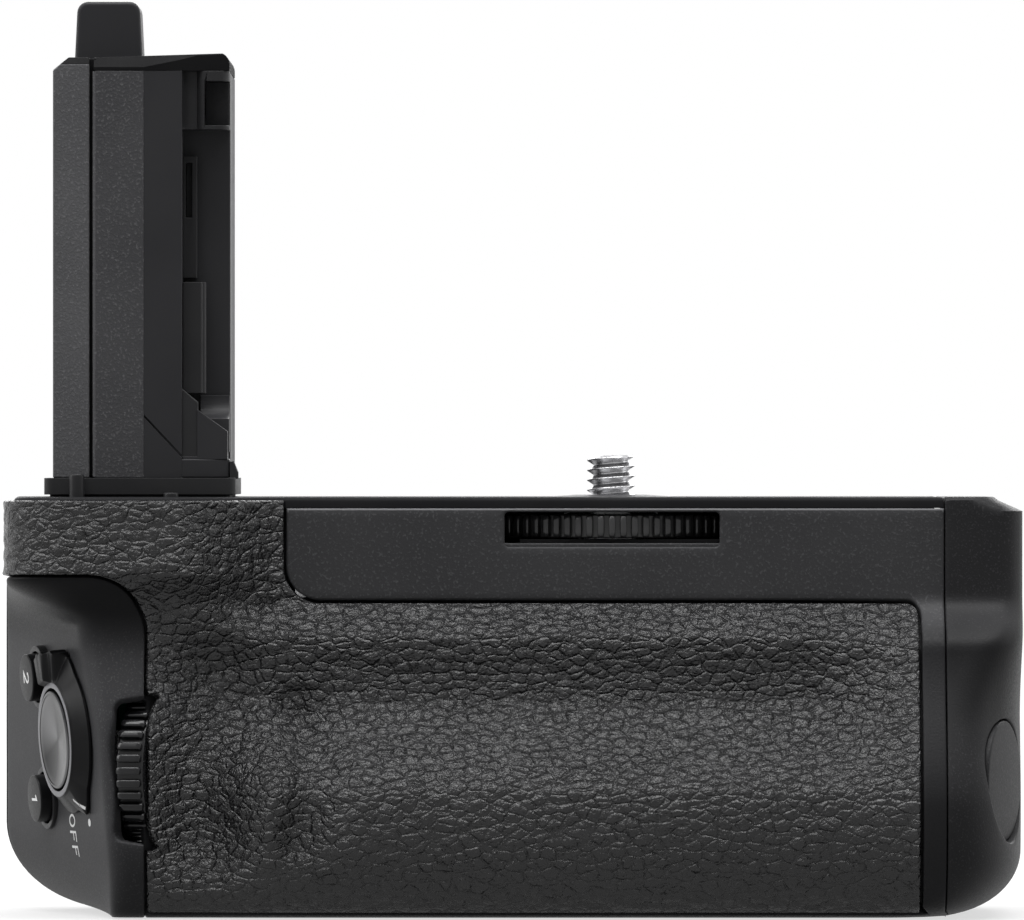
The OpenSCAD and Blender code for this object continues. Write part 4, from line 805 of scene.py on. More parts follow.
doorFront = [frontPoint(doorStart, 26.0)[0], 0]
doorRear = [rightRear(doorStart, 26.0)[0], 0]
zs = steps(0.0, 53.0 - door["fillet"], 0.7)
ahead = [frontPoint(doorStart, z) for z in zs]
behind = [rightRear(doorStart, z) for z in zs]
topV, footV = vFold + bend + spineReach, -spineReach
loop = ahead + [[ahead[-1][0], v] for v in steps(vFold, topV, 0.7)[1:]]
loop += level([ahead[-1][0], topV], [behind[-1][0], topV], 0.8)[1:]
loop += [[behind[-1][0], v] for v in steps(topV, vFold, 0.7)[1:]]
loop += behind[::-1][1:] + [[behind[0][0], v] for v in steps(0, footV, 0.7)[1:]]
loop += level([behind[0][0], footV], [ahead[0][0], footV], 0.8)[1:]
loop += [[ahead[0][0], v] for v in steps(footV, 0, 0.7)[1:-1]]
lock = {"at": np.array([62.53778, -20.5, 17.2]), "turn": math.radians(17.5), "hole": 7.85, "radius": 7.62,
        "out": 0.9, "sink": 1.35, "dome": 0.3, "edge": 0.3}
lockAxes = np.array([[math.sin(lock["turn"]), math.cos(lock["turn"]), 0], [0, 0, 1]])
lockHole = onSurface(ringOf(0, 0, lock["hole"], 64), frontPoint(62.5, 17.2), lockAxes, lock["at"])
doorPiece = patch("battery_door_shell", doorSurface, [loop, lockHole], door)
hinge = {"x": 56.37, "y": 25.8, "radius": 1.1}
for v in doorPiece.data.vertices:
    reach = Vector((v.co.x / mm - hinge["x"], v.co.y / mm - hinge["y"]))
    if reach.x < 0 and reach.y > -hinge["radius"] and reach.length > hinge["radius"]:
        reach *= hinge["radius"] / reach.length
        v.co.x, v.co.y = (hinge["x"] + reach.x) * mm, (hinge["y"] + reach.y) * mm
# painted shade: darker on the door's front below the shelf
shade(doorPiece, lambda x, y, z: 0.8 * ease((37.5 - z) / 3) * ease((z - 18) / 9) * ease((-8 - y) / 8))
seat(doorPiece, "doorCoat", "door", "satin_plastic", "battery_door")
print("battery door", len(doorPiece.data.polygons))

# Rear shell and its pad
rear = {"step": 1.2, "round": 0.25, "thick": 1.3, "turns": 2}
rearDial = {"at": (-52.0, 19.4, 35.5), "radius": 9.3, "half": 2.65, "high": 7.9}
zs = steps(0.0, panelTop, 0.8)
rearLow = [leftPoint(body["split"], 0)[0], rearPoint(doorEdge, 0)[0]]
loop = [leftPoint(body["split"], z) for z in zs[::-1]] + [[rearLow[0], hem / 2]]
loop += level([rearLow[0], hem], [rearLow[1], hem], 1.2) + [[rearLow[1], hem / 2]]
loop += [rearPoint(doorEdge, z) for z in zs]
loop += level(rearPoint(doorEdge, panelTop), leftPoint(body["split"], panelTop), 1.2)[1:-1]


def rearCircle(x, z, r, n=40):
    return [rearPoint(*p) for p in ringOf(x, z, r, n)]


d = rearDial
reach = (d["half"] - 0.7, d["high"] - 0.7)
slotLine = roundedBox((d["at"][0] - reach[0], d["at"][0] + reach[0]),
                      (d["at"][2] - reach[1], d["at"][2] + reach[1]),
                      0.7, 4)
slotLoop = [rearPoint(*p) for p in subdivide(np.array(slotLine), 0.8)]
rearPiece = patch("rear_shell_skin", bodySurface,
                  [loop, rearCircle(-38, 26, 5.0), rearCircle(-39, 39, 3.5), rearCircle(-31.1, 39, 3.1),
                   slotLoop], rear)
seat(rearPiece, "panelCoat", "grip", "casing", "rear_shell")


def rearFlat(a, v):
    a, v = np.asarray(a, float), np.asarray(v, float)
    return (np.stack([-a, np.full_like(a, 28.2), v], axis=-1),
            np.broadcast_to(np.array([0, 1.0, 0]), (*a.shape, 3)))


pad = {"step": 0.45, "round": 0.4, "thick": 1.15, "fade": 1.0}
padLoop = roundedBox((-48.6 + 4, 56.3 - 4), (3.2 + 4, 14.2 - 4), 4, 8)
rearPad = patch("rear_grip_pad", rearFlat, [padLoop], pad)
seat(rearPad, "gripHide", "grip", "grip_rubber", "rear_grip_skin")
print("rear casing", len(rearPiece.data.polygons))


# Top plate, inset a little from the casing
topPlate = {"step": 2.5, "round": 0.6, "thick": 1.4, "turns": 4, "inset": 0.35, "end": 54.48}
screwAt = np.array([12.6, 2.7])
topScrews = [(-58.3, 12), (-20.5, 19), (-20.5, -11), (40.3, 19), (47.3, -10)]
pinPlaces = [(-55.0, -19.2, 2.9), (-43.1, -19.4, 0.55)]


def topFlat(a, v):
    a, v = np.asarray(a, float), np.asarray(v, float)
    return np.stack([a, v, np.full_like(a, body["height"])], axis=-1), np.broadcast_to([0, 0, 1.0],
                                                                                       (*a.shape, 3))


edge = rowAt(52.0)[(aStops > rearPoint(topPlate["end"], 52.0)[0]) & (aStops < frontPoint(topPlate["end"],
                                                                                         52.0)[0]), :2]
edge = edge[::3]
hidden = ((edge[:, 0] < body["panelLeft"] - 0.3) & (edge[:, 1] < body["split"])).astype(float)
edge = insetLoop(edge, 1.0) * hidden[:, None] + edge * (1 - hidden[:, None])
edge = np.vstack([edge,
                  [[topPlate["end"] + topPlate["inset"], edge[-1, 1]],
                   [topPlate["end"] + topPlate["inset"], edge[0, 1]]]])
edge = insetLoop(edge, topPlate["inset"])
holes = [ringOf(*screwAt, 7.95, 64)] + [ringOf(x, y, 1.85, 24)
                                        for x, y in topScrews] + [ringOf(x, y, 1.0, 24)
                                        for x, y, _ in pinPlaces]
plate = patch("top_cover", topFlat, [edge] + holes, topPlate)
seat(plate, "plateCoat", "grip", "casing", "top_plate")
print("top plate", len(plate.data.polygons))


# Solids of revolution, pieces cut from the solids, and node trees
def settle(obj, sharp=30):
    bm = bmesh.new()
    bm.from_mesh(obj.data)
    bmesh.ops.remove_doubles(bm, verts=bm.verts, dist=1e-7)
    bmesh.ops.recalc_face_normals(bm, faces=bm.faces)
    bm.to_mesh(obj.data)
    bm.free()
    obj.data.shade_smooth()
    obj.data.set_sharp_from_angle(angle=math.radians(sharp))
    return obj


def soften(points, radii, n=4):
    points = np.array(points, float)
    out = []
    for k, r in enumerate(radii):
        p = points[k]
        if r <= 0:
            out.append(p)
            continue
        back, ahead = points[k - 1] - p, points[(k + 1) % len(points)] - p
        out += list(bezier(p + back / np.linalg.norm(back) * r, p,
                           p + ahead / np.linalg.norm(ahead) * r, n))
    return out


def revolve(name, profile, turn, origin, count=96, ring=False, sharp=30):
    angles = around(count)
    shapes = [profile(t) if callable(profile) else profile for t in angles]
    verts, rows = [], []
    for k in range(len(shapes[0])):
        first = len(verts)
        if max(s[k][0] for s in shapes) < 1e-6:
            verts.append((0, 0, shapes[0][k][1]))
            rows.append([first] * count)
        else:
            verts += [(s[k][0] * math.cos(t), s[k][0] * math.sin(t), s[k][1])
                      for s, t in zip(shapes, angles)]
            rows.append(list(range(first, first + count)))
    faces = []
    for lo, hi in list(zip(rows, rows[1:])) + ([(rows[-1], rows[0])] if ring else []):
        for i in range(count):
            j = (i + 1) % count
            face = list(dict.fromkeys([lo[i], lo[j], hi[j], hi[i]]))
            if len(face) > 2:
                faces.append(face)
    return settle(finishMesh(name, np.array(verts) @ np.array(turn).T + np.array(origin), faces), sharp)


def bake(obj):
    bpy.context.view_layer.update()
    deps = bpy.context.evaluated_depsgraph_get()
    mesh = bpy.data.meshes.new_from_object(obj.evaluated_get(deps), depsgraph=deps)
    obj.modifiers.clear()
    obj.data = mesh
    return obj


def block(outline, low, high, plane):
    order = {"xy": (0, 1, 2), "xz": (0, 2, 1), "yz": (1, 2, 0)}[plane]
    verts = []
    for depth in (low, high):
        for p in outline:
            spot = [0, 0, 0]
            spot[order[0]], spot[order[1]], spot[order[2]] = p[0], p[1], depth
            verts.append(spot)
    n = len(outline)
    faces = [list(range(n)),
             list(range(2 * n - 1, n - 1, -1))] + [[i, (i + 1) % n, n + (i + 1) % n, n + i]
             for i in range(n)]
    return settle(finishMesh("cutter", verts, faces))


def carve(obj, *cutters, mode="DIFFERENCE"):
    for cutter in cutters:
        cut = obj.modifiers.new("cut", "BOOLEAN")
        cut.object, cut.operation, cut.solver = cutter, mode, "EXACT"
        bake(obj)
        bpy.data.objects.remove(cutter)
    return obj


def bevelled(obj, width, segments=3, limit=32):
    obj.data.shade_smooth()
    obj.data.set_sharp_from_angle(angle=math.radians(limit))
    edge = obj.modifiers.new("edge", "BEVEL")
    edge.width, edge.segments = width * mm, segments
    edge.limit_method, edge.angle_limit = "ANGLE", math.radians(limit)
    edge.harden_normals = True
    edge.use_clamp_overlap = True
    return bake(obj)


def fromNode(nodeName, name):
    obj = addObject(name, nodes[nodeName].data.copy())
    bm = bmesh.new()
    bm.from_mesh(obj.data)
    bmesh.ops.remove_doubles(bm, verts=bm.verts, dist=2e-6)
    bmesh.ops.dissolve_limit(bm, angle_limit=math.radians(0.6), verts=bm.verts, edges=bm.edges)
    bm.to_mesh(obj.data)
    bm.free()
    return obj


def startTree(name, inputs):
    tree = bpy.data.node_groups.new(name, "GeometryNodeTree")
    face = tree.interface
    face.new_socket("Geometry", in_out="INPUT", socket_type="NodeSocketGeometry")
    for key, value in inputs.items():
        kind = "Material" if value is None else "Int" if isinstance(value, int) else "Float"
        socket = face.new_socket(key, in_out="INPUT", socket_type="NodeSocket" + kind)
        if value is not None:
            socket.default_value = value
    face.new_socket("Geometry", in_out="OUTPUT", socket_type="NodeSocketGeometry")
    return tree, tree.nodes.new("NodeGroupInput").outputs, tree.nodes.new("NodeGroupOutput").inputs[0]


def put(tree, kind, settings=None, **inputs):
    n = tree.nodes.new(kind)
    for key, value in (settings or {}).items():
        setattr(n, key, value)
    for key, value in inputs.items():
        socket = n.inputs[key.replace("_", " ")]
        if isinstance(value, bpy.types.NodeSocket):
            link(tree, value, socket)
        else:
            socket.default_value = value
    return n


def calc(tree, operation, *values):
    n = tree.nodes.new("ShaderNodeMath")
    n.operation = operation
    for socket, value in zip(n.inputs, values):
        if isinstance(value, bpy.types.NodeSocket):
            link(tree, value, socket)
        else:
            socket.default_value = value
    return n.outputs[0]


def grow(name, tree, values, start=None):
    obj = start or addObject(name, bpy.data.meshes.new(name))
    mod = obj.modifiers.new(tree.name, "NODES")
    mod.node_group = tree
    for item in tree.interface.items_tree:
        if item.in_out == "INPUT" and item.name in values:
            mod[item.identifier] = values[item.name]
    return bake(obj)


def finishTree(tree, geometry, material, out):
    solid = put(tree, "GeometryNodeRealizeInstances", Geometry=geometry).outputs[0]
    link(tree, put(tree, "GeometryNodeSetMaterial", Geometry=solid, Material=material).outputs[0], out)


# Ribbed wheels: a ring with rounded ribs round it
ribTree, given, out = startTree("ribbedWheel",
                                {"Ribs": 38, "Radius": 0.0095, "Width": 0.0044, "Rib Height": 0.0009,
                                                "Rib Width": 0.0009, "Ring Depth": 0.004, "Edge": 0.0004,
                                                "Material": None})
seatRadius = calc(ribTree, "SUBTRACT", given["Radius"], given["Rib Height"])
ribCentre = calc(ribTree, "SUBTRACT", given["Radius"],
                 calc(ribTree, "MULTIPLY", given["Rib Height"], 0.8))
circle = put(ribTree, "GeometryNodeMeshCircle", Vertices=given["Ribs"], Radius=ribCentre).outputs[0]
size = put(ribTree, "ShaderNodeCombineXYZ", X=calc(ribTree, "MULTIPLY", given["Rib Height"], 1.6),
           Y=given["Rib Width"],
           Z=calc(ribTree, "SUBTRACT", given["Width"], given["Edge"])).outputs[0]
rib = put(ribTree, "GeometryNodeMeshCube", Size=size).outputs[0]
rib = put(ribTree, "GeometryNodeSubdivisionSurface", Mesh=rib, Level=2, Edge_Crease=0.62).outputs[0]
rib = put(ribTree, "GeometryNodeSetShadeSmooth", Geometry=rib).outputs[0]
spot = put(ribTree, "GeometryNodeInputPosition").outputs[0]
turnTo = put(ribTree, "FunctionNodeAlignRotationToVector", {"axis": "X"}, Vector=spot).outputs[0]
ribs = put(ribTree, "GeometryNodeInstanceOnPoints", Points=circle, Instance=rib,
           Rotation=turnTo).outputs[0]
ringPath = put(ribTree, "GeometryNodeCurvePrimitiveCircle", Resolution=120,
               Radius=calc(ribTree, "SUBTRACT", seatRadius,
                           calc(ribTree, "MULTIPLY", given["Ring Depth"], 0.5))).outputs[0]
section = put(ribTree, "GeometryNodeCurvePrimitiveQuadrilateral", Width=given["Ring Depth"],
              Height=given["Width"]).outputs[0]
section = put(ribTree, "GeometryNodeFilletCurve", {"mode": "POLY"}, Curve=section,
              Radius=given["Edge"], Count=4)
ring = put(ribTree, "GeometryNodeCurveToMesh", Curve=ringPath,
           Profile_Curve=section.outputs[0]).outputs[0]
both = put(ribTree, "GeometryNodeJoinGeometry")
link(ribTree, ring, both.inputs[0])
link(ribTree, ribs, both.inputs[0])
finishTree(ribTree, both.outputs[0], given["Material"], out)


def ribbedWheel(name, values, materialName, turn, origin):
    sizes = {key: value if isinstance(value, int) else value * mm for key, value in values.items()}
    obj = grow(name, ribTree, {**sizes, "Material": mats[materialName]})
    place4 = Matrix(np.array(turn).tolist()).to_4x4()
    place4.translation = Vector(np.array(origin) * mm)
    obj.data.transform(place4)
    return obj


def axisTurn(axis):
    z = np.array(axis, float) / np.linalg.norm(axis)
    x = np.cross([0, 0, 1.0] if abs(z[2]) < 0.9 else [1.0, 0, 0], z)
    x /= np.linalg.norm(x)
    return np.column_stack([x, np.cross(z, x), z])


straight = np.eye(3)
wheel = {"Ribs": 84, "Radius": 19.6, "Width": 3.0, "Rib Height": 0.85, "Rib Width": 0.85,
         "Ring Depth": 6.0, "Edge": 0.25}
wheelPiece = ribbedWheel("tightening_wheel_ribs", wheel, "wheelGloss", straight, [*screwAt, 49.3])
seat(wheelPiece, None, "screw", "control_black", "tightening_wheel")
frontDial = {"Ribs": 36, "Radius": 9.5, "Width": 3.5, "Rib Height": 0.8, "Rib Width": 1.0,
             "Ring Depth": 3.6, "Edge": 0.35}
dialPiece = ribbedWheel("front_dial_ribs", frontDial, "dialGloss",
                        axisTurn(dialAxis), dial["at"] - 0.45 * dialAxis)
seat(dialPiece, None, "front_wheel", "control_black", "front_dial")
rearWheel = {**frontDial, "Radius": rearDial["radius"], "Width": 4.4}
rearDialPiece = ribbedWheel("rear_dial_ribs", rearWheel, "dialGloss", axisTurn([1, 0, 0]), rearDial["at"])
seat(rearDialPiece, None, "rear_wheel", "control_black", "rear_dial")
print("ribbed wheels", [len(o.data.polygons) for o in (wheelPiece, dialPiece, rearDialPiece)],
      [round(c / mm, 2) for c in wheelPiece.dimensions])

# Camera screw: a rolled thread above its neck
threadTree, given, out = startTree("rolledThread",
                                   {"Length": 0.0052, "Pitch": 0.00127, "Crest": 0.0031, "Root": 0.0023,
                                                    "Tip": 0.0019, "Material": None})
tube = put(threadTree, "GeometryNodeMeshCylinder", {"fill_type": "NGON"}, Vertices=96,
           Side_Segments=120, Radius=1.0,
           Depth=given["Length"])
spot = put(threadTree, "ShaderNodeSeparateXYZ",
           Vector=put(threadTree, "GeometryNodeInputPosition").outputs[0]).outputs
angle = calc(threadTree, "DIVIDE", calc(threadTree, "ARCTAN2", spot[1], spot[0]), 2 * math.pi)
phase = calc(threadTree, "FRACT",
             calc(threadTree, "SUBTRACT", calc(threadTree, "DIVIDE", spot[2], given["Pitch"]), angle))
ridge = calc(threadTree, "ABSOLUTE", calc(threadTree, "SUBTRACT", phase, 0.5))
ridge = put(threadTree, "ShaderNodeMapRange", Value=ridge, From_Min=0.05, From_Max=0.46,
            To_Min=given["Root"], To_Max=given["Crest"]).outputs[0]
topGap = calc(threadTree, "SUBTRACT", calc(threadTree, "MULTIPLY", given["Length"], 0.5), spot[2])
reach = calc(threadTree, "MINIMUM", ridge, calc(threadTree, "ADD", topGap, given["Tip"]))
spotNew = put(threadTree, "ShaderNodeCombineXYZ", X=calc(threadTree, "MULTIPLY", spot[0], reach),
              Y=calc(threadTree, "MULTIPLY", spot[1], reach), Z=spot[2]).outputs[0]
moved = put(threadTree, "GeometryNodeSetPosition", Geometry=tube.outputs[0], Position=spotNew).outputs[0]
finishTree(threadTree, moved, given["Material"], out)
thread = {"Length": 5.15, "Pitch": 1.27, "Crest": 3.08, "Root": 2.25, "Tip": 2.75}
threadPiece = grow("camera_screw_thread", threadTree,
                   {**{k: v * mm for k, v in thread.items()}, "Material": mats["screwSteel"]})
threadPiece.data.transform(Matrix.Translation(Vector((screwAt[0] * mm, screwAt[1] * mm,
                                                      (58.3 - thread["Length"] / 2) * mm))))
settle(threadPiece, 45)
seat(threadPiece, None, "screw", "bright_steel", "camera_screw")
neck = [(0, 48.0), (3.0, 48.0), (3.0, 50.6), (6.0, 50.6), (6.0, 51.5), (3.4, 51.5), (3.4, 53.05),
        (3.1, 53.2), (0, 53.2)]
neckPiece = revolve("camera_screw_neck", neck, straight, [*screwAt, 0])
seat(neckPiece, "screwSteel", "screw", "bright_steel")
seatRing = soften([(3.65, 51.6), (7.9, 51.6), (7.9, 53.02), (4.4, 53.25), (3.65, 53.25)],
                  [0, 0, 0.1, 0.3, 0.12])
seatPiece = revolve("screw_seat_ring", seatRing, straight, [*screwAt, 0], ring=True)
seat(seatPiece, "panelCoat", "grip", "casing", "screw_seat")
print("camera screw", len(threadPiece.data.polygons))

# Shutter button and the lever round it
shutter = {"radius": 6.2, "low": 1.45, "rim": 2.15, "dish": 0.6, "bowl": 5.6, "stem": 1.6, "foot": -3.0}
b = shutter
head = [(r, b["rim"] - 0.06 - b["dish"] * (1 - (r / b["bowl"]) ** 2))
        for r in np.linspace(0, b["bowl"], 10)]
head += soften([(5.75, b["rim"]), (b["radius"], b["rim"]), (b["radius"], b["low"])], [0.08, 0.25, 0])[:-1]
head += [(b["radius"], b["low"]), (b["stem"], b["low"]), (b["stem"], b["foot"]), (0, b["foot"])]
shutterPiece = revolve("shutter_button_head", head, faceTurn, faceAt, 128)
seat(shutterPiece, "spunSteel", "shutter", "button_steel", "shutter_button")

lever = {"foot": 9.4, "rimOut": 7.45, "rimIn": 6.5, "top": 1.9, "base": -0.1, "tabAt": 97,
         "tabHalf": 14.5, "tabOut": 11.2,
         "tabTop": 2.85, "nubAt": -57, "nubHalf": 17, "nubOut": 1.9}


def leverProfile(t):
    deg = (math.degrees(t) + 180) % 360 - 180
    tab = float(ease((lever["tabHalf"] + 3 - abs(deg - lever["tabAt"])) / 3.2))
    shoulder = float(ease((deg - 56) / 26)) * float(ease((100 - deg) / 3)) * 1.2
    nub = lever["nubOut"] * max(0.0, 1 - abs(deg - lever["nubAt"]) / lever["nubHalf"]) ** 1.4
    foot = lever["foot"] + max(shoulder, nub)
    rib = 0.16 * math.cos(math.radians(deg - lever["tabAt"]) * 42) * tab
    high = mix(lever["top"], mix(2.05, lever["tabTop"], float(ease((deg - 89) / 5))), tab)
    out = mix(foot, lever["tabOut"] + rib, tab)
    shelf = mix(lever["rimOut"], out - 0.35, tab)
    return [(lever["rimIn"], lever["base"]), (lever["rimIn"], 1.75), (6.62, lever["top"]),
            (7.2, lever["top"]),
            (mix(7.3, 7.5, tab), mix(1.87, high - 0.12, tab)),
            (mix(7.38, 7.75, tab), mix(1.8, high, tab)),
            (shelf, mix(1.7, high, tab)),
            (mix(shelf + 0.08, out - 0.08, tab), mix(1.62, high - 0.1, tab)),
            (mix(foot - 0.12, out, tab), mix(0.3, high - 0.4, tab)), (out, 0.2), (out, lever["base"])]


leverPiece = revolve("power_lever_ring", leverProfile, faceTurn, faceAt, 360, ring=True, sharp=40)
seat(leverPiece, "leverBlack", "lever", "control_black", "power_lever")
rimRing = soften([(6.56, 1.86), (7.26, 1.86), (7.26, 1.95), (6.56, 1.95)], [0, 0, 0.04, 0.04], 2)
rimPiece = revolve("power_lever_rim", rimRing, faceTurn, faceAt, 128, ring=True)
seat(rimPiece, "rimMetal", "lever", "control_black")

# Custom buttons with a collar each
for number, s in ((1, -1), (2, 1)):
    at = faceAt + faceTurn @ np.array([-button["back"], s * button["up"], 0])
    top = soften([(0, button["top"]), (3.02, button["top"]), (3.02, -2.4), (3.6, -2.4), (3.6, -2.9),
                  (0, -2.9)], [0, 0.22, 0, 0, 0, 0])
    knob = revolve(f"custom_button_{number}_cap", top, faceTurn, at, 72)
    seat(knob, "leverBlack", f"custom_{number}", "control_black", f"custom_button_{number}")
    collar = soften([(3.3, -0.6), (3.98, -0.6), (3.98, 0.5), (3.3, 0.5)], [0, 0, 0.12, 0.1], 3)
    ringPiece = revolve(f"custom_button_{number}_collar", collar, faceTurn, at, 72, ring=True)
    seat(ringPiece, "controlBlack", "grip", "control_black")

# Lock dial of the battery door: a bare disc, nearly flush
lockTurn = axisTurn([math.cos(lock["turn"]), -math.sin(lock["turn"]), 0])
face = [(r, lock["dome"] * (1 - (r / 7.6) ** 2) - lock["sink"]) for r in np.linspace(0, 7.0, 10)]
face += soften([(7.2, -lock["sink"] + 0.03), (lock["radius"], -lock["sink"]), (lock["radius"], -2.6)],
               [0, lock["edge"], 0])[1:]
lockPiece = revolve("door_lock_dial", face + [(1.8, -2.6), (1.8, -9.9), (0, -9.9)], lockTurn,
                    lock["at"] + lock["out"] * lockTurn[:, 2], 128)
seat(lockPiece, "doorCoat", "door_lock", "satin_plastic", "lock_dial")

# Rear controls with eased edges
for nodeName, bodyName in (("joystick", "stick"), ("focus_button", "focus"), ("hold_button", "hold")):
    obj = bevelled(fromNode(nodeName, nodeName + "_cap"), 0.25, 3)
    seat(obj, "controlBlack", bodyName, "control_black", nodeName)
print("controls", len(leverPiece.data.polygons))

# Stalk: its solids, cut finer and parted by finish
stalkAt = np.array([-58.1, -16.6, 55.4])
stalk = {"width": 22.3, "split": 19.9, "core": 5.35, "turn": 11.5, "turnIn": 1.0, "recess": 16.3,
         "deep": 8.0,
         "low": 2.4, "high": 44.1, "lid": 51.5, "top": 53.85, "edge": 0.2}


def stalkBlock(outline, low, high, plane):
    axis = {"xy": (0, 1, 2), "xz": (0, 2, 1), "yz": (1, 2, 0)}[plane]
    shift = [stalkAt[k] for k in axis]
    return block([(p[0] + shift[0], p[1] + shift[1]) for p in outline], low + shift[2],
                 high + shift[2], plane)


def stalkPiece(name, obj, look, width, *replaced):
    obj.name = name
    return seat(bevelled(obj, width) if width else obj, look, "grip", "stalk_plastic", *replaced)


def boxLine(x0, y0, x1, y1):
    return [(x0, y0), (x1, y0), (x1, y1), (x0, y1)]


s = stalk
lip = s["top"] + 1
cover = fromNode("stalk_side_cover", "stalk_cover")
corner = [(-1, 50.71), (3, 54.07), (3, 56), (-1, 56)]
carve(cover, stalkBlock(corner, -1, 40, "xz"),
      stalkBlock(boxLine(-1, 52.35, 6, lip), -1, 40, "xz"),
      stalkBlock(boxLine(4.6, -1, 6, 40), -1, 60, "xy"))
stalkPiece("stalk_cover", cover, "stalkSpark", s["edge"], "stalk_side_cover")
coverTop = stalkBlock([(0, 52.3), (0.95, 53.2), (38.2, 53.2), (38.2, 52.3)], 0, 4.6, "yz")
carve(coverTop, stalkBlock(corner, -1, 40, "xz"))
stalkPiece("stalk_cover_top", coverTop, "lidBlack", 0.1)
stalkPiece("stalk_cover_seal", stalkBlock(boxLine(4.5, 0.9, 5.5, 37.8), 0.2, 53.0, "xy"), "lidBlack", 0.1)
stalkPiece("stalk_cover_bead", stalkBlock(boxLine(5.03, 0.03, 5.45, 1.4), 0.1, 51.4, "xy"),
           "stalkSpark", 0.12)

front = stalkBlock(boxLine(s["core"], 0, s["turn"], s["split"]), 0, s["lid"], "xy")
# painted shade: the stalk's front takes the shaded copy of its textured plastic
stalkPiece("stalk_front", front, "stalkSparkShaded", 0.12, "stalk_front_shell")
turned = stalkBlock([(s["turn"], 0.04), (s["recess"], s["turnIn"]), (s["recess"], s["deep"] + 0.1),
                     (s["turn"], s["deep"] + 0.1)],
                    0, s["lid"], "xy")
carve(turned, stalkBlock([(11.3, 7.9), (16.5, 2.3), (16.67, 2.45), (11.47, 8.05)], -1, 1.1, "xz"))
stalkPiece("stalk_turned_side", turned, "stalkSmooth", 0.1)
well = stalkBlock(boxLine(s["turn"] - 0.1, s["deep"], s["width"], s["split"]), 0, s["lid"], "xy")
stalkPiece("stalk_well", well, "stalkSmooth", s["edge"])
postLine = [*bezier((16.2, 1.0), (16.9, 2.7), (18.2, 2.4), 8),
            *bezier((18.2, 2.4), (18.6, 1.3), (20.2, 1.2), 8)[1:],
            *bezier((20.2, 1.2), (22.2, 1.3), (22.3, 3.2), 8)[1:], (22.3, 8.1), (16.2, 8.1)]
post = stalkBlock(postLine, s["high"], s["lid"], "xy")
carve(post, stalkBlock(boxLine(19.2, s["high"] + 0.5, 24, 50.2), -1, 5, "xz"))
stalkPiece("stalk_post", post, "flangeCoat", 0.06)
# painted shade: a black liner at the back of the post's notch
stalkPiece("stalk_post_notch_shade", stalkBlock(boxLine(19.25, 4.5, 22.1, 5.3), s["high"] + 0.55, 50.15, "xy"),
           "innerBlack", 0.05)
foot = stalkBlock([(16.2, 1.0), (22.3, 1.3), (22.3, 8.1), (16.2, 8.1)], 0, s["low"], "xy")
stalkPiece("stalk_foot", foot, "stalkSmooth", s["edge"])
stalkPiece("stalk_corner",
           stalkBlock([(16.2, 2.45), (18.3, 2.45), (18.3, 9.6), (16.2, 11.4)], 1.35, 7, "xz"),
           "flangeCoat", 0.15)

back = fromNode("stalk_rear_shell", "stalk_back")
stalkPiece("stalk_back", back, "stalkSpark", s["edge"], "stalk_rear_shell")
lid = fromNode("stalk_cap", "stalk_lid")
carve(lid, stalkBlock([(s["turn"], -1), (s["turn"], 0), (s["recess"], s["turnIn"]), (18.2, 1.5),
                       (23, 1.7), (23, -1)], 50, 55, "xy"),
      stalkBlock([(4, 53.15), (24, 53.8), (24, lip), (4, lip)], -1, 40, "xz"))
stalkPiece("stalk_lid", lid, "lidBlack", 0.14, "stalk_cap")
holder = fromNode("cover_holder", "cover_holder_form")
carve(holder, stalkBlock(boxLine(16, 2.7, 18.2, 14), 0, 6.5, "xz"))
stalkPiece("cover_holder_form", holder, "stalkSmooth", 0.3, "cover_holder")
stalkPiece("cover_rail_form", fromNode("cover_rail", "cover_rail_form"), "flangeCoat", 0.14, "cover_rail")
nose = fromNode("contact_nose", "contact_nose_form")
heights = [v.co.z for v in nose.data.vertices]
noseFoot, noseTop = min(heights), max(heights)
noseMid = sum(v.co.x for v in nose.data.vertices) / len(heights)
for v in nose.data.vertices:
    taper = 0.975 - 0.045 * (v.co.z - noseFoot) / (noseTop - noseFoot)
    v.co.x = noseMid - 0.00015 + (v.co.x - noseMid) * taper
    if v.co.z < noseFoot + 0.0002:
        v.co.z -= 0.0016
stalkPiece("contact_nose_form", nose, "stalkSmooth", 0.5, "contact_nose")
flange = bevelled(fromNode("stalk_flange", "stalk_flange_form"), 0.22)
seat(flange, "flangeCoat", "grip", "satin_plastic", "stalk_flange")
for k, (x, y, rise) in enumerate(pinPlaces):
    top = body["height"] + rise
    pin = soften([(0, top), (0.95, top), (0.95, 51.7), (0, 51.7)], [0, 0.25, 0, 0])
    obj = revolve(f"locating_pin_{k + 1}", pin, straight, [x, y, 0], 48)
    seat(obj, "controlBlack", "grip", "control_black", *(["locating_pins"] if k == 0 else []))
sill = bevelled(block(boxLine(-1.4, -16.9, 26.6, -11.5), 46.15, 47.15, "xy"), 0.2)
sill.name = "window_sill"
seat(sill, "panelCoat", "grip", "casing")
print("stalk done")

# Pebbled grain of the grip's rubber
grainTree, given, out = startTree("pebbleGrain",
                                  {"Cell": 0.0017, "Depth": 0.0004, "Warp": 0.0011, "Material": None})


def vec(tree, operation, first, second):
    n = tree.nodes.new("ShaderNodeVectorMath")
    n.operation = operation
    link(tree, first, n.inputs[0])
    target = n.inputs["Scale"] if operation == "SCALE" else n.inputs[1]
    if isinstance(second, bpy.types.NodeSocket):
        link(tree, second, target)
    else:
        target.default_value = second
    return n.outputs[0]


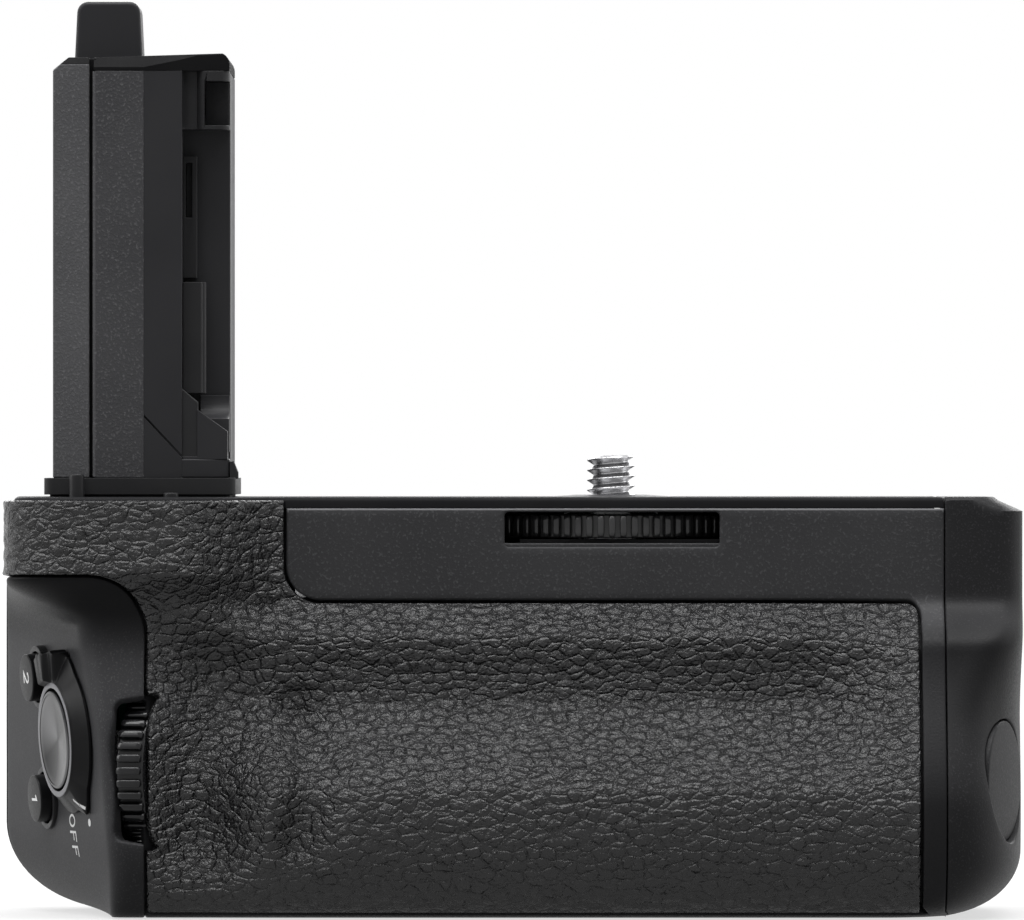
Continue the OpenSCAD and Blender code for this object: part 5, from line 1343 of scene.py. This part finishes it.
spot = put(grainTree, "GeometryNodeInputPosition").outputs[0]
drift = put(grainTree, "ShaderNodeTexNoise", Vector=spot, Scale=420.0, Detail=2.0).outputs["Color"]
drift = vec(grainTree, "SCALE", vec(grainTree, "SUBTRACT", drift, (0.5, 0.5, 0.5)), given["Warp"])
bent = vec(grainTree, "MULTIPLY", vec(grainTree, "ADD", spot, drift), (0.85, 0.85, 1.2))
cells = put(grainTree, "ShaderNodeTexVoronoi", {"feature": "DISTANCE_TO_EDGE"}, Vector=bent,
            Scale=calc(grainTree, "DIVIDE", 1.0, given["Cell"])).outputs["Distance"]
crown = put(grainTree, "ShaderNodeMapRange", {"interpolation_type": "SMOOTHSTEP"}, Value=cells,
            From_Min=-0.05, From_Max=0.42).outputs[0]
swell = put(grainTree, "ShaderNodeTexNoise", Vector=spot, Scale=300.0, Detail=1.0).outputs[0]
crown = calc(grainTree, "MULTIPLY", crown,
             calc(grainTree, "ADD", calc(grainTree, "MULTIPLY", swell, 0.8), 0.55))
crown = calc(grainTree, "MINIMUM", crown, 1.0)
inside = put(grainTree, "GeometryNodeInputNamedAttribute", {"data_type": "FLOAT"},
             Name="inside").outputs[0]
sink = calc(grainTree, "MULTIPLY", calc(grainTree, "SUBTRACT", crown, 1.0), inside)
normal = put(grainTree, "GeometryNodeInputNormal").outputs[0]
shift = vec(grainTree, "SCALE", normal, calc(grainTree, "MULTIPLY", sink, given["Depth"]))
moved = put(grainTree, "GeometryNodeSetPosition", Geometry=given["Geometry"], Offset=shift).outputs[0]
stored = put(grainTree, "GeometryNodeStoreNamedAttribute", {"data_type": "FLOAT", "domain": "POINT"},
             Geometry=moved,
             Name="grain", Value=calc(grainTree, "ADD", sink, 1.0)).outputs[0]
finishTree(grainTree, stored, given["Material"], out)
hide = {"Cell": 2.3, "Depth": 0.16, "Warp": 1.6}
for obj in (gripSkin, rearPad):
    grow(obj.name, grainTree, {**{k: v * mm for k, v in hide.items()}, "Material": mats["gripHide"]}, obj)
    obj.data.set_sharp_from_angle(angle=math.radians(60))
print("grain", len(gripSkin.data.polygons), len(rearPad.data.polygons))

# Cross recessed screws
screwTree, given, out = startTree("crossScrews",
                                  {"Head": 0.0018, "Thick": 0.0007, "Shank": 0.001, "Length": 0.0025,
                                                  "Bar": 0.0005, "Way": 1.0, "Material": None})
head = put(screwTree, "GeometryNodeMeshCylinder", Vertices=40, Radius=given["Head"],
           Depth=given["Thick"]).outputs[0]
long = calc(screwTree, "MULTIPLY", given["Head"], 1.25)
deep = calc(screwTree, "MULTIPLY", given["Thick"], 0.9)
bars = put(screwTree, "GeometryNodeJoinGeometry")
for sizes in ((long, given["Bar"]), (given["Bar"], long)):
    size = put(screwTree, "ShaderNodeCombineXYZ", X=sizes[0], Y=sizes[1], Z=deep).outputs[0]
    link(screwTree, put(screwTree, "GeometryNodeMeshCube", Size=size).outputs[0], bars.inputs[0])
lift = put(screwTree, "ShaderNodeCombineXYZ", X=0.0, Y=0.0,
           Z=calc(screwTree, "MULTIPLY", calc(screwTree, "MULTIPLY", given["Thick"], 0.5),
                  given["Way"])).outputs[0]
bars = put(screwTree, "GeometryNodeSetPosition", Geometry=bars.outputs[0], Offset=lift).outputs[0]
cut = put(screwTree, "GeometryNodeMeshBoolean", {"operation": "DIFFERENCE"})
link(screwTree, head, cut.inputs["Mesh 1"])
link(screwTree, bars, cut.inputs["Mesh 2"])
shank = put(screwTree, "GeometryNodeMeshCylinder", Vertices=32, Radius=given["Shank"],
            Depth=given["Length"]).outputs[0]
drop = put(screwTree, "ShaderNodeCombineXYZ", X=0.0, Y=0.0,
           Z=calc(screwTree, "MULTIPLY", calc(screwTree, "MULTIPLY", given["Length"], -0.5),
                  given["Way"])).outputs[0]
shank = put(screwTree, "GeometryNodeSetPosition", Geometry=shank, Offset=drop).outputs[0]
screw = put(screwTree, "GeometryNodeJoinGeometry")
link(screwTree, cut.outputs[0], screw.inputs[0])
link(screwTree, shank, screw.inputs[0])
screws = put(screwTree, "GeometryNodeInstanceOnPoints", Points=given["Geometry"],
             Instance=screw.outputs[0]).outputs[0]
finishTree(screwTree, screws, given["Material"], out)
screwSizes = {"Head": 1.78, "Thick": 0.6, "Shank": 0.95, "Length": 2.2, "Bar": 0.42}
bottomScrews = [(-38.3, -13), (-38.3, 15), (-22.5, -15), (-22.5, 16), (4.6, -17.6), (28.6, -17.6),
                (46.6, -17.6)]
for name, places, z, way in (("top_screws", topScrews, 52.64, 1.0),
                             ("bottom_screws", bottomScrews, 0.42, -1.0)):
    mesh = bpy.data.meshes.new(name + "_set")
    mesh.from_pydata([(x * mm, y * mm, z * mm) for x, y in places], [], [])
    obj = addObject(name + "_set", mesh)
    grow(obj.name, screwTree,
         {**{k: v * mm for k, v in screwSizes.items()}, "Way": way, "Material": mats["darkSteel"]}, obj)
    seat(settle(obj), None, "grip", "bright_steel", name)
print("screws set")


# Marks: an index on the lever, a dot, a word and two plain numbers
def stroke(points, width):
    p = np.array(points, float)
    e = np.diff(p, axis=0)
    e /= np.linalg.norm(e, axis=1, keepdims=True)
    q = np.column_stack([-e[:, 1], e[:, 0]])
    m = np.vstack([q[:1], (q[:-1] + q[1:]) / (1 + np.sum(q[:-1] * q[1:], axis=1, keepdims=True)), q[-1:]])
    return np.vstack([p + m * width / 2, (p - m * width / 2)[::-1]])


def oval(x, y, w, h, n=28):
    t = around(n)
    return np.column_stack([x + w * np.cos(t), y + h * np.sin(t)])


ink = {"step": 0.3, "round": 0.012, "thick": 0.06, "turns": 1, "depth": -0.015, "small": True,
       "line": 0.34}
one = [[stroke([(-0.45, 0.65), (0.12, 1.05), (0.12, -1.05)], ink["line"])]]
two = [[stroke([(-0.6, 0.5), (-0.5, 0.85), (-0.1, 1.06), (0.35, 0.95), (0.58, 0.55), (0.45, 0.1),
                (-0.62, -0.95), (0.68, -0.95)],
               ink["line"])]]
word = [[oval(-2.0, 0, 0.85, 1.2), oval(-2.0, 0, 0.55, 0.88)]]
for x in (-0.55, 1.35):
    word += [[stroke([(x, -1.2), (x, 1.2)], 0.3)], [stroke([(x - 0.1, 1.06), (x + 1.25, 1.06)], 0.28)],
             [stroke([(x - 0.1, 0.08), (x + 1.05, 0.08)], 0.28)]]


def inked(name, surface, glyph, bodyName, mapping):
    made = [patch(f"{name}_{k}", surface, [mapping(np.array(p)) for p in loops], ink)
            for k, loops in enumerate(glyph)]
    bm = bmesh.new()
    for obj in made:
        bm.from_mesh(obj.data)
    bm.to_mesh(made[0].data)
    bm.free()
    for obj in made[1:]:
        bpy.data.objects.remove(obj)
    made[0].name = name
    seat(settle(made[0]), "mark", bodyName, "bright_steel")


def downward(p):
    return np.column_stack([p[:, 1], -p[:, 0]])


for number, s, glyph in ((1, -1, one), (2, 1, two)):
    def buttonTop(a, v,
                  at=faceAt + faceTurn @ np.array([-button["back"], s * button["up"], button["top"]])):
        return at + np.stack([a, v, np.zeros_like(a)],
                             axis=-1) @ faceTurn.T, np.broadcast_to(faceTurn[:, 2], (*a.shape, 3))
    inked(f"button_number_{number}", buttonTop, glyph, f"custom_{number}", downward)
wordAt = (bodySurface(*[np.array([c]) for c in frontPoint(-55.6, 10.0)])[0][0] - faceAt) @ faceAxes.T
inked("lever_word", bodySurface, word, "grip",
      lambda p: onSurface(downward(p) + wordAt, frontPoint(-55.6, 10.0), faceAxes, faceAt))
inked("lever_dot", bodySurface, [[oval(5.66, -10.55, 0.5, 0.5)]], "grip",
      lambda p: onSurface(p, frontPoint(-53.4, 12.0), faceAxes, faceAt))


def leverTop(a, v):
    high = []
    for x, y in zip(a, v):
        line = leverProfile(math.atan2(y, x))[6:10]
        high.append(np.interp(math.hypot(x, y), [p[0] for p in line], [p[1] for p in line]))
    local = np.stack([a, v, np.array(high)], axis=-1)
    return local @ faceTurn.T + faceAt, np.broadcast_to(faceTurn[:, 2], (*np.shape(a), 3))


inked("lever_index", leverTop, [[stroke([(3.9, -7.6), (5.1, -8.2), (6.3, -8.7)], 0.42)]], "lever",
      lambda p: p)
print("marks made")

# Camera, lights and floor
view = {"sensor": 36.0, "lens": 523.8, "clip": 20, "spot": (-0.06, -1900, 57.67)}
camData = bpy.data.cameras.new("viewCamera")
camData.sensor_fit = "HORIZONTAL"
camData.sensor_width, camData.lens, camData.clip_end = view["sensor"], view["lens"], view["clip"]
cam = addObject("viewCamera", camData)
cam.location = [c * mm for c in view["spot"]]
cam.rotation_euler = (math.pi / 2, 0, 0)
bpy.context.scene.camera = cam
bpy.context.scene.view_settings.view_transform = "Standard"

lamps = {  # place, aim, size and power
    "topBox": ((0.0, -0.17, 0.8), (0, 0, 0.05), (1.0, 0.4), 11.5),
    "keyBox": ((-0.55, -0.55, 0.75), (0, 0, 0.04), (1.0, 0.4), 2.0),
    "leftBox": ((-0.88, 0.0, 0.5), (0, 0, 0.04), (0.4, 0.8), 5),
    "rightBox": ((0.95, 0.15, 0.4), (0, 0, 0.05), (0.4, 0.8), 2.5),
    "backBox": ((0.1, 0.95, 0.55), (0, 0, 0.05), (1.0, 0.6), 8),
}
for name, (spot, aim, size, power) in lamps.items():
    data = bpy.data.lights.new(name, "AREA")
    data.shape, data.energy = "RECTANGLE", power
    data.size, data.size_y = size
    lamp = addObject(name, data)
    lamp.location = spot
    lamp.rotation_euler = (Vector(aim) - Vector(spot)).to_track_quat("-Z", "Y").to_euler()


def pictureRays(tree):
    paths = node(tree, "ShaderNodeLightPath")
    seen = paths.outputs["Is Camera Ray"]
    for ray in ("Is Glossy Ray", "Is Transmission Ray"):
        either = node(tree, "ShaderNodeMath", operation="MAXIMUM")
        link(tree, seen, either.inputs[0])
        link(tree, paths.outputs[ray], either.inputs[1])
        seen = either.outputs[0]
    return seen


world = bpy.data.worlds.new("studio")
bpy.context.scene.world = world
world.use_nodes = True
background = world.node_tree.nodes["Background"]
link(world.node_tree, spread(world.node_tree, pictureRays(world.node_tree), 0, 1, 0.05, 1.0),
     background.inputs["Strength"])
background.inputs["Color"].default_value = (1, 1, 1, 1)

low = -0.0002
floorMesh = bpy.data.meshes.new("floor")
floorMesh.from_pydata([(-6, -1.7, low), (6, -1.7, low), (6, 12, low), (-6, 12, low)], [], [(0, 1, 2, 3)])
floorPiece = addObject("floor", floorMesh)
paper = makeMaterial("floorPaper",
                     {"dark": (0.2, 0.2, 0.2), "light": (0.22, 0.22, 0.22), "cloud": 60, "grain": 1.0,
                                    "rough": (0.7, 0.8), "bump": 0.02, "gloss": 0.05})
paperTree = paper.node_tree
paperShader = paperTree.nodes["Principled BSDF"]
paperShader.inputs["Emission Color"].default_value = (1, 1, 1, 1)
paperSpot = node(paperTree, "ShaderNodeTexCoord").outputs["Object"]
away = node(paperTree, "ShaderNodeVectorMath", operation="LENGTH")
link(paperTree, paperSpot, away.inputs[0])
glow = node(paperTree, "ShaderNodeMath",
            operation="MULTIPLY")  # less near the object, so its shadow shows
link(paperTree, pictureRays(paperTree), glow.inputs[0])
link(paperTree, spread(paperTree, away.outputs["Value"], 0.1, 1.3, 0.66, 1.0), glow.inputs[1])
link(paperTree, glow.outputs[0], paperShader.inputs["Emission Strength"])
floorMesh.materials.append(paper)
